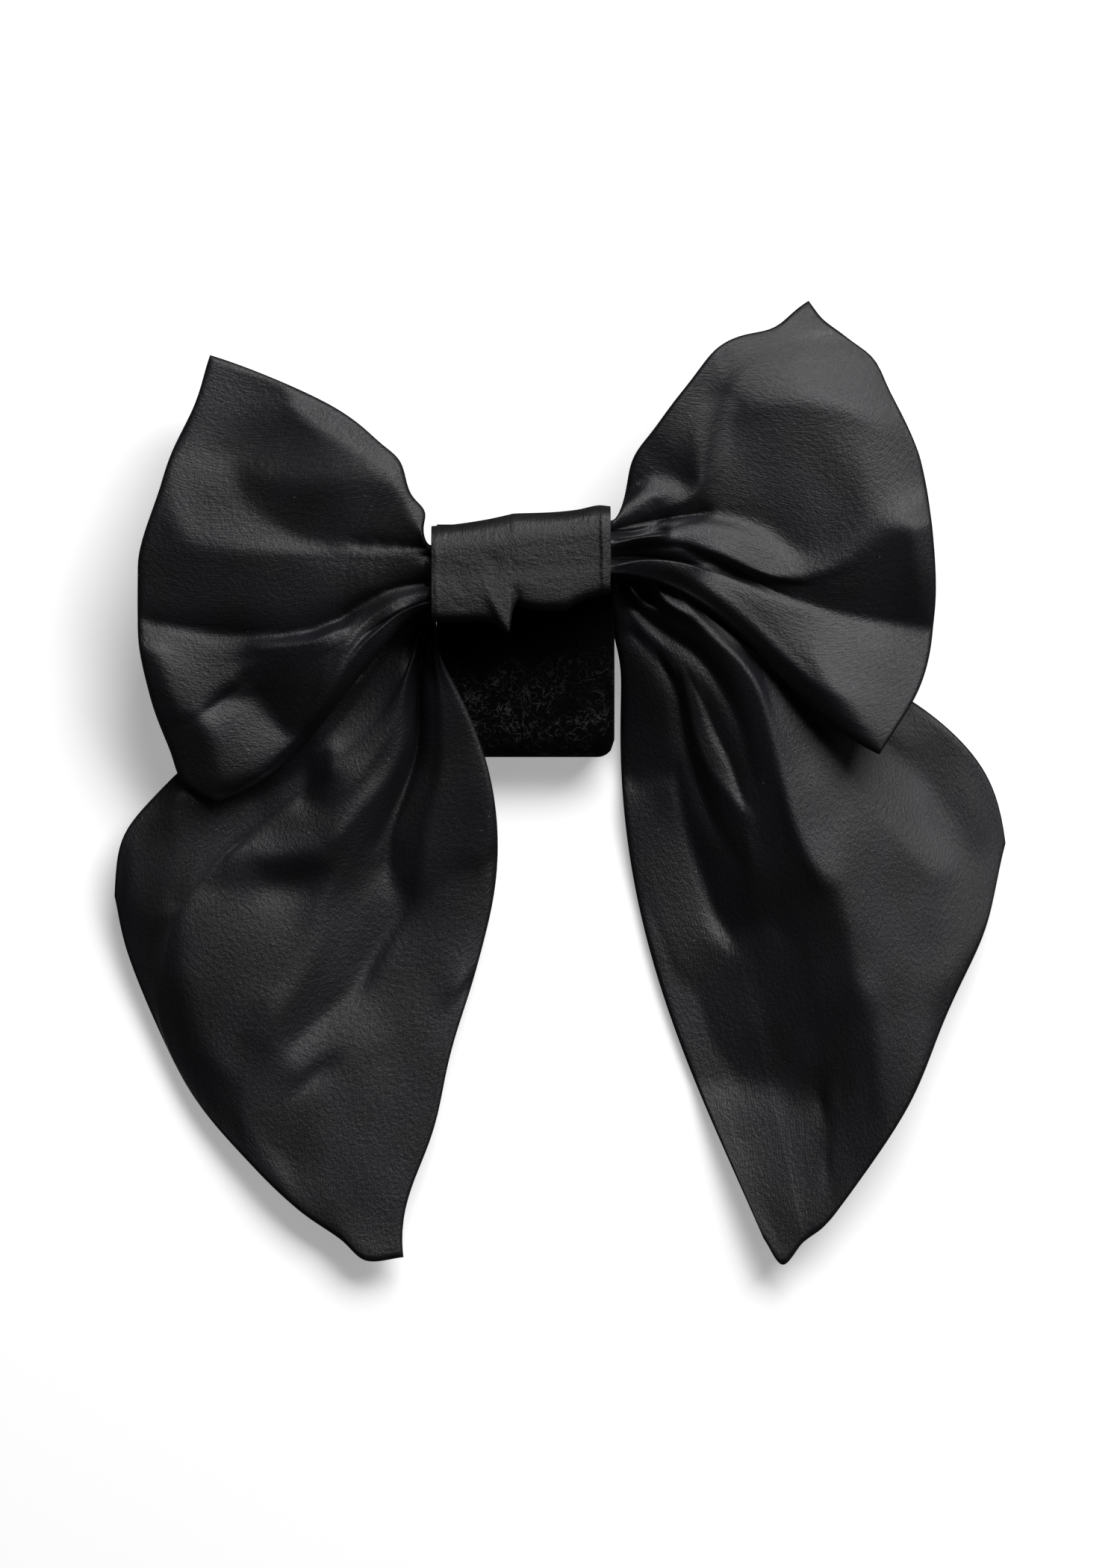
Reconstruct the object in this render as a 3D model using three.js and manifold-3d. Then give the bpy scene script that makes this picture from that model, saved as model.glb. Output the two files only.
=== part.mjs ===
// A dog's sailor bow in black satin, lying on its back with its front up.
// X runs along the knot, Y runs from the tails up to the loops, and Z rises off the table.
// Two turned satin panels are gathered at the waist and held by a centre wrap. One makes the two
// loops and the other the two tails. A ring of hook-and-loop tape behind them holds the collar.
import * as THREE from 'three';
import { mergeVertices } from 'three/addons/utils/BufferGeometryUtils.js';
import Module from 'manifold-3d';

const wasm = await Module();
wasm.setup();

// Driving dimensions, in millimetres
const tapeWidth = 25;
const tapeThickness = 1.6;
const slotHeight = 4.8;
const strapDrop = 27.6;
const strapRise = 5.2;
const strapShift = 0.6;
const tabLength = 18;
const tabThickness = 1.2;
const tabCorner = 3;
const wrapWidth = 25;
const wrapHeight = 14.5;
const wrapLoft = 11.4;
const wrapThickness = 1.2;
const wrapCorner = 3.8;
const fanRise = 0.6;
const plyThickness = 1.0;
const plySlit = 0.4;
const loopSeam = 1.4;
const loopPuff = 2.6;
const tailThickness = 2.0;
const tailSeam = 1.4;
const leftLoopLength = 42;
const rightLoopLength = 45;
const leftTailLength = 87;
const rightTailLength = 93;
const clearance = 0.3;
const layerGap = 0.5;

// Stack of the layers above the table
const strapBottom = tabThickness + clearance;
const slotBottom = strapBottom + tapeThickness;
const slotTop = slotBottom + slotHeight;
const strapTop = slotTop + tapeThickness;
const wrapBottom = strapTop + clearance;
const wrapTop = wrapBottom + wrapLoft;
const loopThickness = 2 * plyThickness + plySlit;
const bundleBottom = wrapBottom + wrapThickness + clearance;
const bundleTop = wrapTop - wrapThickness - clearance;
const pleatRoom = bundleTop - bundleBottom - layerGap - tailThickness - loopThickness;
const tailPleat = 0.3 * pleatRoom;
const loopPleat = pleatRoom - tailPleat;
const tailLow = bundleBottom + tailThickness;
const loopLow = tailLow + tailPleat + layerGap + loopThickness;

// Sections of the centre wrap from left to right. along is a share of the wrap's width; top and
// bottom are shares of its height, counted from the middle of the knot.
const wrapSections = [
  { along: 0.00, top: 0.30, bottom: -0.61 },
  { along: 0.14, top: 0.33, bottom: -0.63 },
  { along: 0.31, top: 0.37, bottom: -0.62 },
  { along: 0.45, top: 0.42, bottom: -0.66 },
  { along: 0.55, top: 0.44, bottom: -0.51 },
  { along: 0.78, top: 0.49, bottom: -0.50 },
  { along: 1.00, top: 0.53, bottom: -0.32 },
];

// One row for each fold, from the panel's upper edge round to its lower edge.
// seat: where the fold enters the wrap, share of half the mouth's height
// angle: direction of the fold's outer end from the point that the folds fan out from, a little
//   above the middle of the mouth, degrees
// reach: distance of that end, share of the loop's or tail's length
// lead: how far the fold runs straight out of the wrap, share of that length
// bow, hook: sideways swing a third and two thirds of the way, share of the fold's own length
// ridge: 1 where the cloth rises to a crest, 0 where it sinks to a crease
// near, mid, far, edge: height of the fold along its way, share of the waist's height
const leftLoopFolds = [
  { seat: 0.78, angle: 136, reach: 1.01, lead: 0.07, bow: -0.36, hook: -0.12, ridge: 0,
    near: 0.82, mid: 0.68, far: 0.54, edge: 0.40 },
  { seat: 0.64, angle: 145, reach: 0.96, lead: 0.07, bow: -0.44, hook: -0.07, ridge: 1,
    near: 1.09, mid: 1.05, far: 0.87, edge: 0.49 },
  { seat: 0.49, angle: 161, reach: 0.94, lead: 0.07, bow: 0.14, hook: -0.03, ridge: 0,
    near: 0.94, mid: 0.97, far: 0.88, edge: 0.55 },
  { seat: 0.06, angle: 179, reach: 0.98, lead: 0.07, bow: 0.03, hook: -0.02, ridge: 1,
    near: 1.14, mid: 1.12, far: 0.94, edge: 0.58 },
  { seat: -0.34, angle: 191, reach: 1.00, lead: 0.07, bow: 0.08, hook: 0.17, ridge: 0,
    near: 0.83, mid: 0.73, far: 0.65, edge: 0.49 },
  { seat: -0.52, angle: 204, reach: 1.03, lead: 0.07, bow: 0.06, hook: 0.06, ridge: 1,
    near: 1.02, mid: 0.97, far: 0.84, edge: 0.56 },
  { seat: -0.65, angle: 214, reach: 1.06, lead: 0.07, bow: -0.01, hook: 0.04, ridge: 0,
    near: 0.91, mid: 0.79, far: 0.71, edge: 0.53 },
  { seat: -0.73, angle: 220, reach: 1.09, lead: 0.07, bow: -0.12, hook: 0.30, ridge: 1,
    near: 1.07, mid: 1.00, far: 0.83, edge: 0.55 },
  { seat: -0.82, angle: 227, reach: 1.06, lead: 0.07, bow: -0.03, hook: 0.15, ridge: 0,
    near: 0.94, mid: 0.80, far: 0.66, edge: 0.50 },
];
const rightLoopFolds = [
  { seat: 0.78, angle: 51, reach: 0.98, lead: 0.07, bow: 0.23, hook: 0.11, ridge: 0,
    near: 0.84, mid: 0.72, far: 0.57, edge: 0.42 },
  { seat: 0.66, angle: 44.5, reach: 0.96, lead: 0.07, bow: 0.00, hook: 0.30, ridge: 1,
    near: 1.07, mid: 1.05, far: 0.89, edge: 0.51 },
  { seat: 0.48, angle: 37, reach: 0.99, lead: 0.07, bow: -0.31, hook: 0.42, ridge: 0,
    near: 0.88, mid: 0.91, far: 0.83, edge: 0.53 },
  { seat: 0.29, angle: 15, reach: 1.00, lead: 0.07, bow: -0.08, hook: 0.20, ridge: 1,
    near: 0.92, mid: 0.86, far: 0.83, edge: 0.56 },
  { seat: 0.10, angle: 4, reach: 1.00, lead: 0.07, bow: 0.18, hook: -0.44, ridge: 1,
    near: 1.12, mid: 1.05, far: 0.89, edge: 0.56 },
  { seat: -0.27, angle: -7, reach: 1.02, lead: 0.07, bow: 0.09, hook: -0.21, ridge: 0,
    near: 0.88, mid: 0.83, far: 0.73, edge: 0.52 },
  { seat: -0.53, angle: -15, reach: 1.04, lead: 0.07, bow: 0.27, hook: -0.33, ridge: 1,
    near: 1.07, mid: 0.99, far: 0.84, edge: 0.54 },
  { seat: -0.68, angle: -25, reach: 1.06, lead: 0.07, bow: 0.17, hook: -0.28, ridge: 1,
    near: 1.05, mid: 0.98, far: 0.88, edge: 0.62 },
  { seat: -0.80, angle: -38, reach: 1.06, lead: 0.07, bow: 0.22, hook: -0.06, ridge: 0,
    near: 0.94, mid: 0.89, far: 0.78, edge: 0.59 },
];
const leftTailFolds = [
  { seat: 0.19, angle: -134.5, reach: 0.735, lead: 0.03, bow: 0.11, hook: -0.26, ridge: 0,
    near: 0.60, mid: 0.36, far: 0.28, edge: 0.20 },
  { seat: 0.08, angle: -130, reach: 0.78, lead: 0.03, bow: 0.27, hook: -0.25, ridge: 1,
    near: 0.60, mid: 0.40, far: 0.48, edge: 0.27 },
  { seat: -0.04, angle: -121, reach: 0.865, lead: 0.05, bow: 0.34, hook: -0.36, ridge: 0,
    near: 0.71, mid: 0.50, far: 0.31, edge: 0.21 },
  { seat: -0.15, angle: -114, reach: 0.94, lead: 0.06, bow: 0.34, hook: -0.50, ridge: 1,
    near: 0.98, mid: 0.94, far: 0.75, edge: 0.33 },
  { seat: -0.26, angle: -107, reach: 1.005, lead: 0.07, bow: 0.27, hook: -0.23, ridge: 0,
    near: 0.62, mid: 0.43, far: 0.47, edge: 0.30 },
  { seat: -0.37, angle: -102, reach: 1.055, lead: 0.08, bow: 0.25, hook: -0.13, ridge: 1,
    near: 0.94, mid: 0.76, far: 0.44, edge: 0.26 },
  { seat: -0.48, angle: -98, reach: 1.09, lead: 0.10, bow: 0.32, hook: -0.09, ridge: 1,
    near: 1.02, mid: 0.92, far: 0.58, edge: 0.22 },
  { seat: -0.59, angle: -95.5, reach: 1.12, lead: 0.12, bow: 0.38, hook: -0.03, ridge: 1,
    near: 1.05, mid: 0.99, far: 0.62, edge: 0.22 },
  { seat: -0.70, angle: -92.5, reach: 1.11, lead: 0.15, bow: 0.45, hook: -0.07, ridge: 0,
    near: 0.98, mid: 0.85, far: 0.40, edge: 0.19 },
];
const rightTailFolds = [
  { seat: 0.14, angle: -37, reach: 0.75, lead: 0.03, bow: -0.09, hook: 0.32, ridge: 0,
    near: 0.62, mid: 0.40, far: 0.30, edge: 0.21 },
  { seat: 0.03, angle: -45, reach: 0.805, lead: 0.03, bow: -0.04, hook: 0.30, ridge: 1,
    near: 0.60, mid: 0.44, far: 0.48, edge: 0.27 },
  { seat: -0.08, angle: -54.5, reach: 0.875, lead: 0.03, bow: 0.12, hook: 0.23, ridge: 1,
    near: 0.84, mid: 0.68, far: 0.74, edge: 0.41 },
  { seat: -0.19, angle: -62, reach: 0.96, lead: 0.04, bow: 0.18, hook: 0.10, ridge: 1,
    near: 0.90, mid: 0.84, far: 0.80, edge: 0.44 },
  { seat: -0.30, angle: -70, reach: 1.05, lead: 0.05, bow: 0.12, hook: 0.10, ridge: 0,
    near: 0.64, mid: 0.50, far: 0.57, edge: 0.39 },
  { seat: -0.41, angle: -72.5, reach: 1.08, lead: 0.06, bow: 0.06, hook: 0.11, ridge: 1,
    near: 0.87, mid: 0.69, far: 0.40, edge: 0.31 },
  { seat: -0.52, angle: -74.5, reach: 1.095, lead: 0.07, bow: 0.02, hook: 0.03, ridge: 0,
    near: 0.60, mid: 0.34, far: 0.28, edge: 0.25 },
  { seat: -0.63, angle: -76.5, reach: 1.12, lead: 0.08, bow: -0.07, hook: -0.03, ridge: 1,
    near: 0.88, mid: 0.65, far: 0.47, edge: 0.25 },
  { seat: -0.74, angle: -77.5, reach: 1.075, lead: 0.08, bow: -0.17, hook: -0.06, ridge: 0,
    near: 0.84, mid: 0.52, far: 0.29, edge: 0.19 },
];

// Stations of the four heights along a fold, after the one at the wrap
const heightStations = [0, 0.2, 0.45, 0.7, 1];
const stepsAcross = 3;
const loopSteps = 13;
const tailSteps = 17;
const waistSteps = 3;
const stepCrowding = 1.35;
const steepestSlope = 1.7;
const slopeOnset = 0.25;

// Materials, from the black satin and the black loop tape
const satin = new THREE.MeshStandardMaterial({ color: 0x1b1b20, roughness: 0.42, metalness: 0 });
const wrapSatin = new THREE.MeshStandardMaterial({ color: 0x1e1e22, roughness: 0.45, metalness: 0 });
const loopTape = new THREE.MeshStandardMaterial({ color: 0x0c0c0d, roughness: 0.95, metalness: 0 });
const hookTape = new THREE.MeshStandardMaterial({ color: 0x111113, roughness: 0.7, metalness: 0 });

// Closed mesh helpers

function solidOf(geometry) {
  const merged = mergeVertices(geometry, 1e-5);
  return new wasm.Manifold(new wasm.Mesh({
    numProp: 3,
    vertProperties: new Float32Array(merged.attributes.position.array),
    triVerts: new Uint32Array(merged.index.array),
  }));
}

function geometryOf(solid) {
  const mesh = solid.getMesh();
  const geometry = new THREE.BufferGeometry();
  geometry.setAttribute('position', new THREE.BufferAttribute(mesh.vertProperties, 3));
  geometry.setIndex(new THREE.BufferAttribute(mesh.triVerts, 1));
  return geometry;
}

function geometryFrom(points, triangles) {
  const geometry = new THREE.BufferGeometry();
  const positions = points.flatMap((point) => [point.x, point.y, point.z]);
  geometry.setAttribute('position', new THREE.Float32BufferAttribute(positions, 3));
  geometry.setIndex(triangles);
  return geometry;
}

// Two grids of points, upper and lower, joined round their rims into one closed body
function shellBetween(upper, lower) {
  const rows = upper.length;
  const columns = upper[0].length;
  const points = [...upper.flat(), ...lower.flat()];
  const at = (row, column) => row * columns + column;
  const under = (row, column) => rows * columns + at(row, column);
  const triangles = [];
  const quad = (a, b, c, d) => triangles.push(a, c, b, a, d, c);
  for (let row = 0; row < rows - 1; row += 1) {
    for (let column = 0; column < columns - 1; column += 1) {
      quad(at(row, column), at(row + 1, column), at(row + 1, column + 1), at(row, column + 1));
      quad(under(row, column), under(row, column + 1), under(row + 1, column + 1), under(row + 1, column));
    }
  }
  for (let row = 0; row < rows - 1; row += 1) {
    const last = columns - 1;
    quad(at(row, 0), under(row, 0), under(row + 1, 0), at(row + 1, 0));
    quad(at(row + 1, last), under(row + 1, last), under(row, last), at(row, last));
  }
  for (let column = 0; column < columns - 1; column += 1) {
    const last = rows - 1;
    quad(at(0, column + 1), under(0, column + 1), under(0, column), at(0, column));
    quad(at(last, column), under(last, column), under(last, column + 1), at(last, column + 1));
  }
  return geometryFrom(points, triangles);
}

// Rounded rectangle in the YZ plane, as points round it
function roundedLoop(x, low, high, bottom, top, corner, cornerSteps = 5) {
  const centres = [
    [high - corner, top - corner],
    [low + corner, top - corner],
    [low + corner, bottom + corner],
    [high - corner, bottom + corner],
  ];
  return centres.flatMap(([y, z], quarter) => Array.from({ length: cornerSteps + 1 }, (_, step) => {
    const turn = (quarter + step / cornerSteps) * Math.PI / 2;
    return new THREE.Vector3(x, y + corner * Math.cos(turn), z + corner * Math.sin(turn));
  }));
}

// Tube wall between an outer and an inner loop at each section
function ringThrough(outerLoops, innerLoops) {
  const count = outerLoops[0].length;
  const sections = outerLoops.length;
  const points = [...outerLoops.flat(), ...innerLoops.flat()];
  const outer = (section, k) => section * count + (k % count);
  const inner = (section, k) => (sections + section) * count + (k % count);
  const triangles = [];
  const quad = (a, b, c, d) => triangles.push(a, b, c, a, c, d);
  for (let k = 0; k < count; k += 1) {
    for (let section = 0; section < sections - 1; section += 1) {
      quad(outer(section, k), outer(section, k + 1), outer(section + 1, k + 1), outer(section + 1, k));
      quad(inner(section, k), inner(section + 1, k), inner(section + 1, k + 1), inner(section, k + 1));
    }
    const last = sections - 1;
    quad(outer(0, k), inner(0, k), inner(0, k + 1), outer(0, k + 1));
    quad(outer(last, k + 1), inner(last, k + 1), inner(last, k), outer(last, k));
  }
  return geometryFrom(points, triangles);
}

// Gathered cloth

// Mouths of the wrap, at its two ends: the open height between the wrap's walls
function mouthAt(section, side) {
  const top = section.top * wrapHeight - wrapThickness;
  const bottom = section.bottom * wrapHeight + wrapThickness;
  return { side, x: side * wrapWidth / 2, middle: (top + bottom) / 2, half: (top - bottom) / 2 };
}
const leftMouth = mouthAt(wrapSections[0], -1);
const rightMouth = mouthAt(wrapSections[wrapSections.length - 1], 1);

// Position along one fold, t from 0 at the mouth to 1 at the outer edge
function foldPlan(fold, mouth, length, t) {
  const start = new THREE.Vector2(mouth.x, mouth.middle + fold.seat * mouth.half);
  const angle = THREE.MathUtils.degToRad(fold.angle);
  const end = new THREE.Vector2(Math.cos(angle), Math.sin(angle)).multiplyScalar(fold.reach * length);
  end.add(new THREE.Vector2(mouth.x, mouth.middle + fanRise));
  const way = end.clone().sub(start);
  const aside = new THREE.Vector2(-way.y, way.x);
  const controls = [
    start,
    start.clone().add(new THREE.Vector2(mouth.side * fold.lead * length, 0)),
    start.clone().addScaledVector(way, 1 / 3).addScaledVector(aside, fold.bow),
    start.clone().addScaledVector(way, 2 / 3).addScaledVector(aside, fold.hook),
    end,
  ];
  const u = 1 - t;
  const weights = [u ** 4, 4 * t * u ** 3, 6 * t * t * u * u, 4 * t ** 3 * u, t ** 4];
  return controls.reduce((sum, point, k) => sum.addScaledVector(point, weights[k]), new THREE.Vector2());
}

// Smooth curve through values at given stations, without overshoot past steep neighbours
function smoothThrough(values, stations, at) {
  const last = values.length - 1;
  let k = 0;
  while (k < last - 1 && at > stations[k + 1]) k += 1;
  const rise = (n) => (values[n + 1] - values[n]) / (stations[n + 1] - stations[n]);
  const slope = (n) => {
    if (n === 0) return rise(0);
    if (n === last) return rise(last - 1);
    const middle = (values[n + 1] - values[n - 1]) / (stations[n + 1] - stations[n - 1]);
    const limit = 2 * Math.min(Math.abs(rise(n - 1)), Math.abs(rise(n)));
    return Math.sign(middle) * Math.min(Math.abs(middle), Math.max(limit, 0));
  };
  const span = stations[k + 1] - stations[k];
  const s = (at - stations[k]) / span;
  return (2 * s ** 3 - 3 * s * s + 1) * values[k] + (s ** 3 - 2 * s * s + s) * span * slope(k)
    + (3 * s * s - 2 * s ** 3) * values[k + 1] + (s ** 3 - s * s) * span * slope(k + 1);
}

function foldHeight(fold, waist, t) {
  const level = waist.low + waist.pleat / 2;
  const heights = [
    waist.low + fold.ridge * waist.pleat,
    fold.near * level,
    fold.mid * level,
    fold.far * level,
    fold.edge * level,
  ];
  return smoothThrough(heights, heightStations, t);
}

// Share of the way from one fold's height to the next: round over a crest, sharp in a crease
function pleatBlend(from, to, share) {
  if (from.ridge === to.ridge) return from.ridge ? (1 - Math.cos(Math.PI * share)) / 2 : share;
  return from.ridge ? 1 - Math.cos(Math.PI * share / 2) : Math.sin(Math.PI * share / 2);
}

// One row of points across all the folds, at t along them
function rowAcross(folds, mouth, length, waist, t) {
  const plan = folds.map((fold) => foldPlan(fold, mouth, length, t));
  const heights = folds.map((fold) => foldHeight(fold, waist, t));
  const places = folds.map((_, k) => k);
  const steps = (folds.length - 1) * stepsAcross;
  return Array.from({ length: steps + 1 }, (_, step) => {
    const place = step / stepsAcross;
    const k = Math.min(Math.floor(place), folds.length - 2);
    const from = folds[k];
    const to = folds[k + 1];
    const blend = from.ridge && !to.ridge
      ? 1 - pleatBlend(to, from, 1 - (place - k)) : pleatBlend(from, to, place - k);
    return new THREE.Vector3(
      smoothThrough(plan.map((point) => point.x), places, place),
      smoothThrough(plan.map((point) => point.y), places, place),
      heights[k] + (heights[k + 1] - heights[k]) * blend,
    );
  });
}

// The panel's front, from the left outer edge through the waist to the right outer edge.
// Each row knows how far it is from the mouth, so that the cloth can thicken outside it.
function panelFront(panel) {
  const stations = Array.from({ length: panel.steps }, (_, k) => ((k + 1) / panel.steps) ** stepCrowding);
  const rowOf = (folds, mouth, length, t) => (
    { t, points: rowAcross(folds, mouth, length, panel.waist, t) });
  const left = stations.map((t) => rowOf(panel.leftFolds, leftMouth, panel.leftLength, t)).reverse();
  const right = stations.map((t) => rowOf(panel.rightFolds, rightMouth, panel.rightLength, t));
  const enter = rowOf(panel.leftFolds, leftMouth, panel.leftLength, 0);
  const leave = rowOf(panel.rightFolds, rightMouth, panel.rightLength, 0);
  const waist = Array.from({ length: waistSteps + 1 }, (_, step) => ({
    t: 0,
    points: enter.points.map((point, k) => point.clone().lerp(leave.points[k], step / waistSteps)),
  }));
  return [...left, ...waist, ...right];
}

// Upward stretch that keeps the cloth's thickness on a slope
function slopeStretch(rows, row, column) {
  const { points, t } = rows[row];
  const along = rows[Math.min(row + 1, rows.length - 1)].points[column].clone()
    .sub(rows[Math.max(row - 1, 0)].points[column]);
  const across = points[Math.min(column + 1, points.length - 1)].clone()
    .sub(points[Math.max(column - 1, 0)]);
  const normal = along.cross(across).normalize();
  const stretch = Math.min(1 / Math.max(Math.abs(normal.z), 0.1), steepestSlope);
  return 1 + (stretch - 1) * Math.min(t / slopeOnset, 1);
}

// Moves each point of the front down by what thicknessAt gives for its row, column and stretch
function lowered(rows, thicknessAt) {
  return rows.map(({ points, t }, row) => points.map((point, column) => {
    const drop = thicknessAt(row, column, slopeStretch(rows, row, column), t);
    return new THREE.Vector3(point.x, point.y, point.z - drop);
  }));
}

const isRim = (rows, row, column) => (
  row === 0 || column === 0 || row === rows.length - 1 || column === rows[0].points.length - 1);

// The loops: a bag of two plies, puffed between its seams, hollow from loop to loop
function makeLoops() {
  const rows = panelFront({
    leftFolds: leftLoopFolds,
    rightFolds: rightLoopFolds,
    leftLength: leftLoopLength,
    rightLength: rightLoopLength,
    waist: { low: loopLow, pleat: loopPleat },
    steps: loopSteps,
  });
  const lastColumn = rows[0].points.length - 1;
  const puffAt = (column, t) => (
    loopPuff * Math.sin(Math.PI * column / lastColumn) * Math.sin(Math.PI * Math.min(t, 1)));
  const thickness = (row, column, stretch, t) => (
    isRim(rows, row, column) ? loopSeam : loopThickness * stretch + puffAt(column, t));
  const front = rows.map(({ points }) => points);
  const outside = solidOf(shellBetween(front, lowered(rows, thickness)));

  // The hollow stops short of the seams by two steps at the folded edges and one at the ends
  const foldInset = 2;
  const endInset = 1;
  const inner = (grid) => grid.slice(endInset, -endInset).map((row) => row.slice(foldInset, -foldInset));
  const ceiling = lowered(rows, (row, column, stretch) => plyThickness * stretch);
  const floor = lowered(rows, (row, column, stretch, t) => (
    thickness(row, column, stretch, t) - plyThickness * stretch));
  const hollow = solidOf(shellBetween(inner(ceiling), inner(floor)));

  // Slit in the back ply, under the wrap, that the bag was turned through
  const middleRow = Math.floor(rows.length / 2);
  const slitColumn = Math.floor(lastColumn / 2);
  const patch = (grid) => grid.slice(middleRow - 1, middleRow + 1)
    .map((row) => row.slice(slitColumn - 1, slitColumn + 2));
  const slitRoof = lowered(rows, (row, column, stretch) => (plyThickness + plySlit / 2) * stretch);
  const slitFloor = lowered(rows, () => loopThickness + plyThickness);
  const turningSlit = solidOf(shellBetween(patch(slitRoof), patch(slitFloor)));
  return geometryOf(outside.subtract(hollow).subtract(turningSlit));
}

// The tails: two plies pressed flat together
function makeTails() {
  const rows = panelFront({
    leftFolds: leftTailFolds,
    rightFolds: rightTailFolds,
    leftLength: leftTailLength,
    rightLength: rightTailLength,
    waist: { low: tailLow, pleat: tailPleat },
    steps: tailSteps,
  });
  const front = rows.map(({ points }) => points);
  const back = lowered(rows, (row, column, stretch) => (
    isRim(rows, row, column) ? tailSeam : tailThickness * stretch));
  return shellBetween(front, back);
}

// The centre wrap, a satin band round the waist
function makeWrap() {
  const loops = (inset) => wrapSections.map(({ along, top, bottom }) => roundedLoop(
    (along - 0.5) * wrapWidth,
    bottom * wrapHeight + inset,
    top * wrapHeight - inset,
    wrapBottom + inset,
    wrapTop - inset,
    wrapCorner - inset,
  ));
  return ringThrough(loops(0), loops(wrapThickness));
}

// The collar strap, a flat ring of tape with round folds at its two ends
function makeStrap() {
  const fold = (strapTop - strapBottom) / 2;
  const ends = [strapShift - tapeWidth / 2, strapShift + tapeWidth / 2];
  const loops = (inset) => ends.map((x) => roundedLoop(
    x, -strapDrop + inset, strapRise - inset, strapBottom + inset, strapTop - inset, fold - inset));
  return ringThrough(loops(0), loops(tapeThickness));
}

// The hooked end of the strap, lapped flat over its back
function makeHookTab() {
  const outline = new THREE.Shape();
  const halfWidth = tapeWidth / 2;
  const halfLength = tabLength / 2;
  outline.moveTo(-halfWidth + tabCorner, -halfLength);
  outline.lineTo(halfWidth - tabCorner, -halfLength);
  outline.absarc(halfWidth - tabCorner, -halfLength + tabCorner, tabCorner, -Math.PI / 2, 0);
  outline.lineTo(halfWidth, halfLength);
  outline.lineTo(-halfWidth, halfLength);
  outline.lineTo(-halfWidth, -halfLength + tabCorner);
  outline.absarc(-halfWidth + tabCorner, -halfLength + tabCorner, tabCorner, Math.PI, Math.PI * 1.5);
  const geometry = new THREE.ExtrudeGeometry(
    outline, { depth: tabThickness, bevelEnabled: false, curveSegments: 4 });
  return geometry.translate(strapShift, (strapRise - strapDrop) / 2, 0);
}

function named(name, geometry, material) {
  const mesh = new THREE.Mesh(geometry, material);
  mesh.name = name;
  return mesh;
}

const group = new THREE.Group();
group.add(
  named('bow_panel', makeLoops(), satin),
  named('tail_panel', makeTails(), satin),
  named('centre_wrap', makeWrap(), wrapSatin),
  named('collar_strap', makeStrap(), loopTape),
  named('hook_tab', makeHookTab(), hookTape),
);

// The origin is the middle of the bow's footprint, on the table
const box = new THREE.Box3().setFromObject(group, true);
const centre = box.getCenter(new THREE.Vector3());
group.position.set(-centre.x, -centre.y, -box.min.z);
group.updateMatrixWorld(true);

export default group;
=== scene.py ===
import math

import bmesh
import bpy
import numpy as np
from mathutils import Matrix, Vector, noise
from mathutils.bvhtree import BVHTree


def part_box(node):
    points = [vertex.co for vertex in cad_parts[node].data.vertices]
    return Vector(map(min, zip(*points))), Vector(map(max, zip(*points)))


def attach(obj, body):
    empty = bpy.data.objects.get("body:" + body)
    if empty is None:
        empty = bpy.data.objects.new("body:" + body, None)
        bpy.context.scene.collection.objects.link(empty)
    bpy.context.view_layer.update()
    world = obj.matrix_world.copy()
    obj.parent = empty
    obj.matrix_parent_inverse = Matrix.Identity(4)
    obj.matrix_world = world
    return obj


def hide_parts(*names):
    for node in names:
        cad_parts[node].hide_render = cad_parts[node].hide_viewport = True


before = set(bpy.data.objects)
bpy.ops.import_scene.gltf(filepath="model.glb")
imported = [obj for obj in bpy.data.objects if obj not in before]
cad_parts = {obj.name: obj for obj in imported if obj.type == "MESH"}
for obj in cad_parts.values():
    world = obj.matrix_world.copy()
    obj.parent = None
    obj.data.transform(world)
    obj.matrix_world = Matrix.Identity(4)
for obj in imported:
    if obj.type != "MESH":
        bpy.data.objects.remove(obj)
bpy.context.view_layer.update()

# Loops
# One turned bag of black satin, gathered at its waist into two puffed loops. The folds fan out of
# the wrap, deep and sharp at the gathers, and soften towards the sewn edges.

MM = 0.001
WRAP_WIDTH = 25.0
WRAP_HEIGHT = 14.5
WRAP_WALL = 1.2
WRAP_TOP_SHARE = 0.53
wrap_low, wrap_high = (Vector(corner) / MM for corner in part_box("centre_wrap"))
KNOT = Vector(((wrap_low.x + wrap_high.x) / 2, wrap_high.y - WRAP_TOP_SHARE * WRAP_HEIGHT, 0))


def smooth_through(values, stations, at):
    """Curve through values at their stations, held back where a neighbour is steep."""
    values = np.asarray(values, float)
    stations = np.asarray(stations, float)
    at = np.asarray(at, float)
    wide = (-1,) + (1,) * (values.ndim - 1)
    rise = np.diff(values, axis=0) / np.diff(stations).reshape(wide)
    middle = (values[2:] - values[:-2]) / (stations[2:] - stations[:-2]).reshape(wide)
    limit = 2 * np.minimum(abs(rise[:-1]), abs(rise[1:]))
    slope = np.concatenate([rise[:1], np.sign(middle) * np.minimum(abs(middle), limit), rise[-1:]])
    k = np.clip(np.searchsorted(stations, at, side="right") - 1, 0, len(stations) - 2)
    span = (stations[k + 1] - stations[k]).reshape(wide)
    s = (at - stations[k]).reshape(wide) / span
    return ((2 * s**3 - 3 * s**2 + 1) * values[k] + (s**3 - 2 * s**2 + s) * span * slope[k]
            + (3 * s**2 - 2 * s**3) * values[k + 1] + (s**3 - s**2) * span * slope[k + 1])


def wrap_mouth(side, top, bottom):
    """Open height at one end of the wrap, where the cloth enters it."""
    high, low = top * WRAP_HEIGHT - WRAP_WALL, bottom * WRAP_HEIGHT + WRAP_WALL
    return dict(side=side, x=side * WRAP_WIDTH / 2, middle=(high + low) / 2, half=(high - low) / 2)


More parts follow.
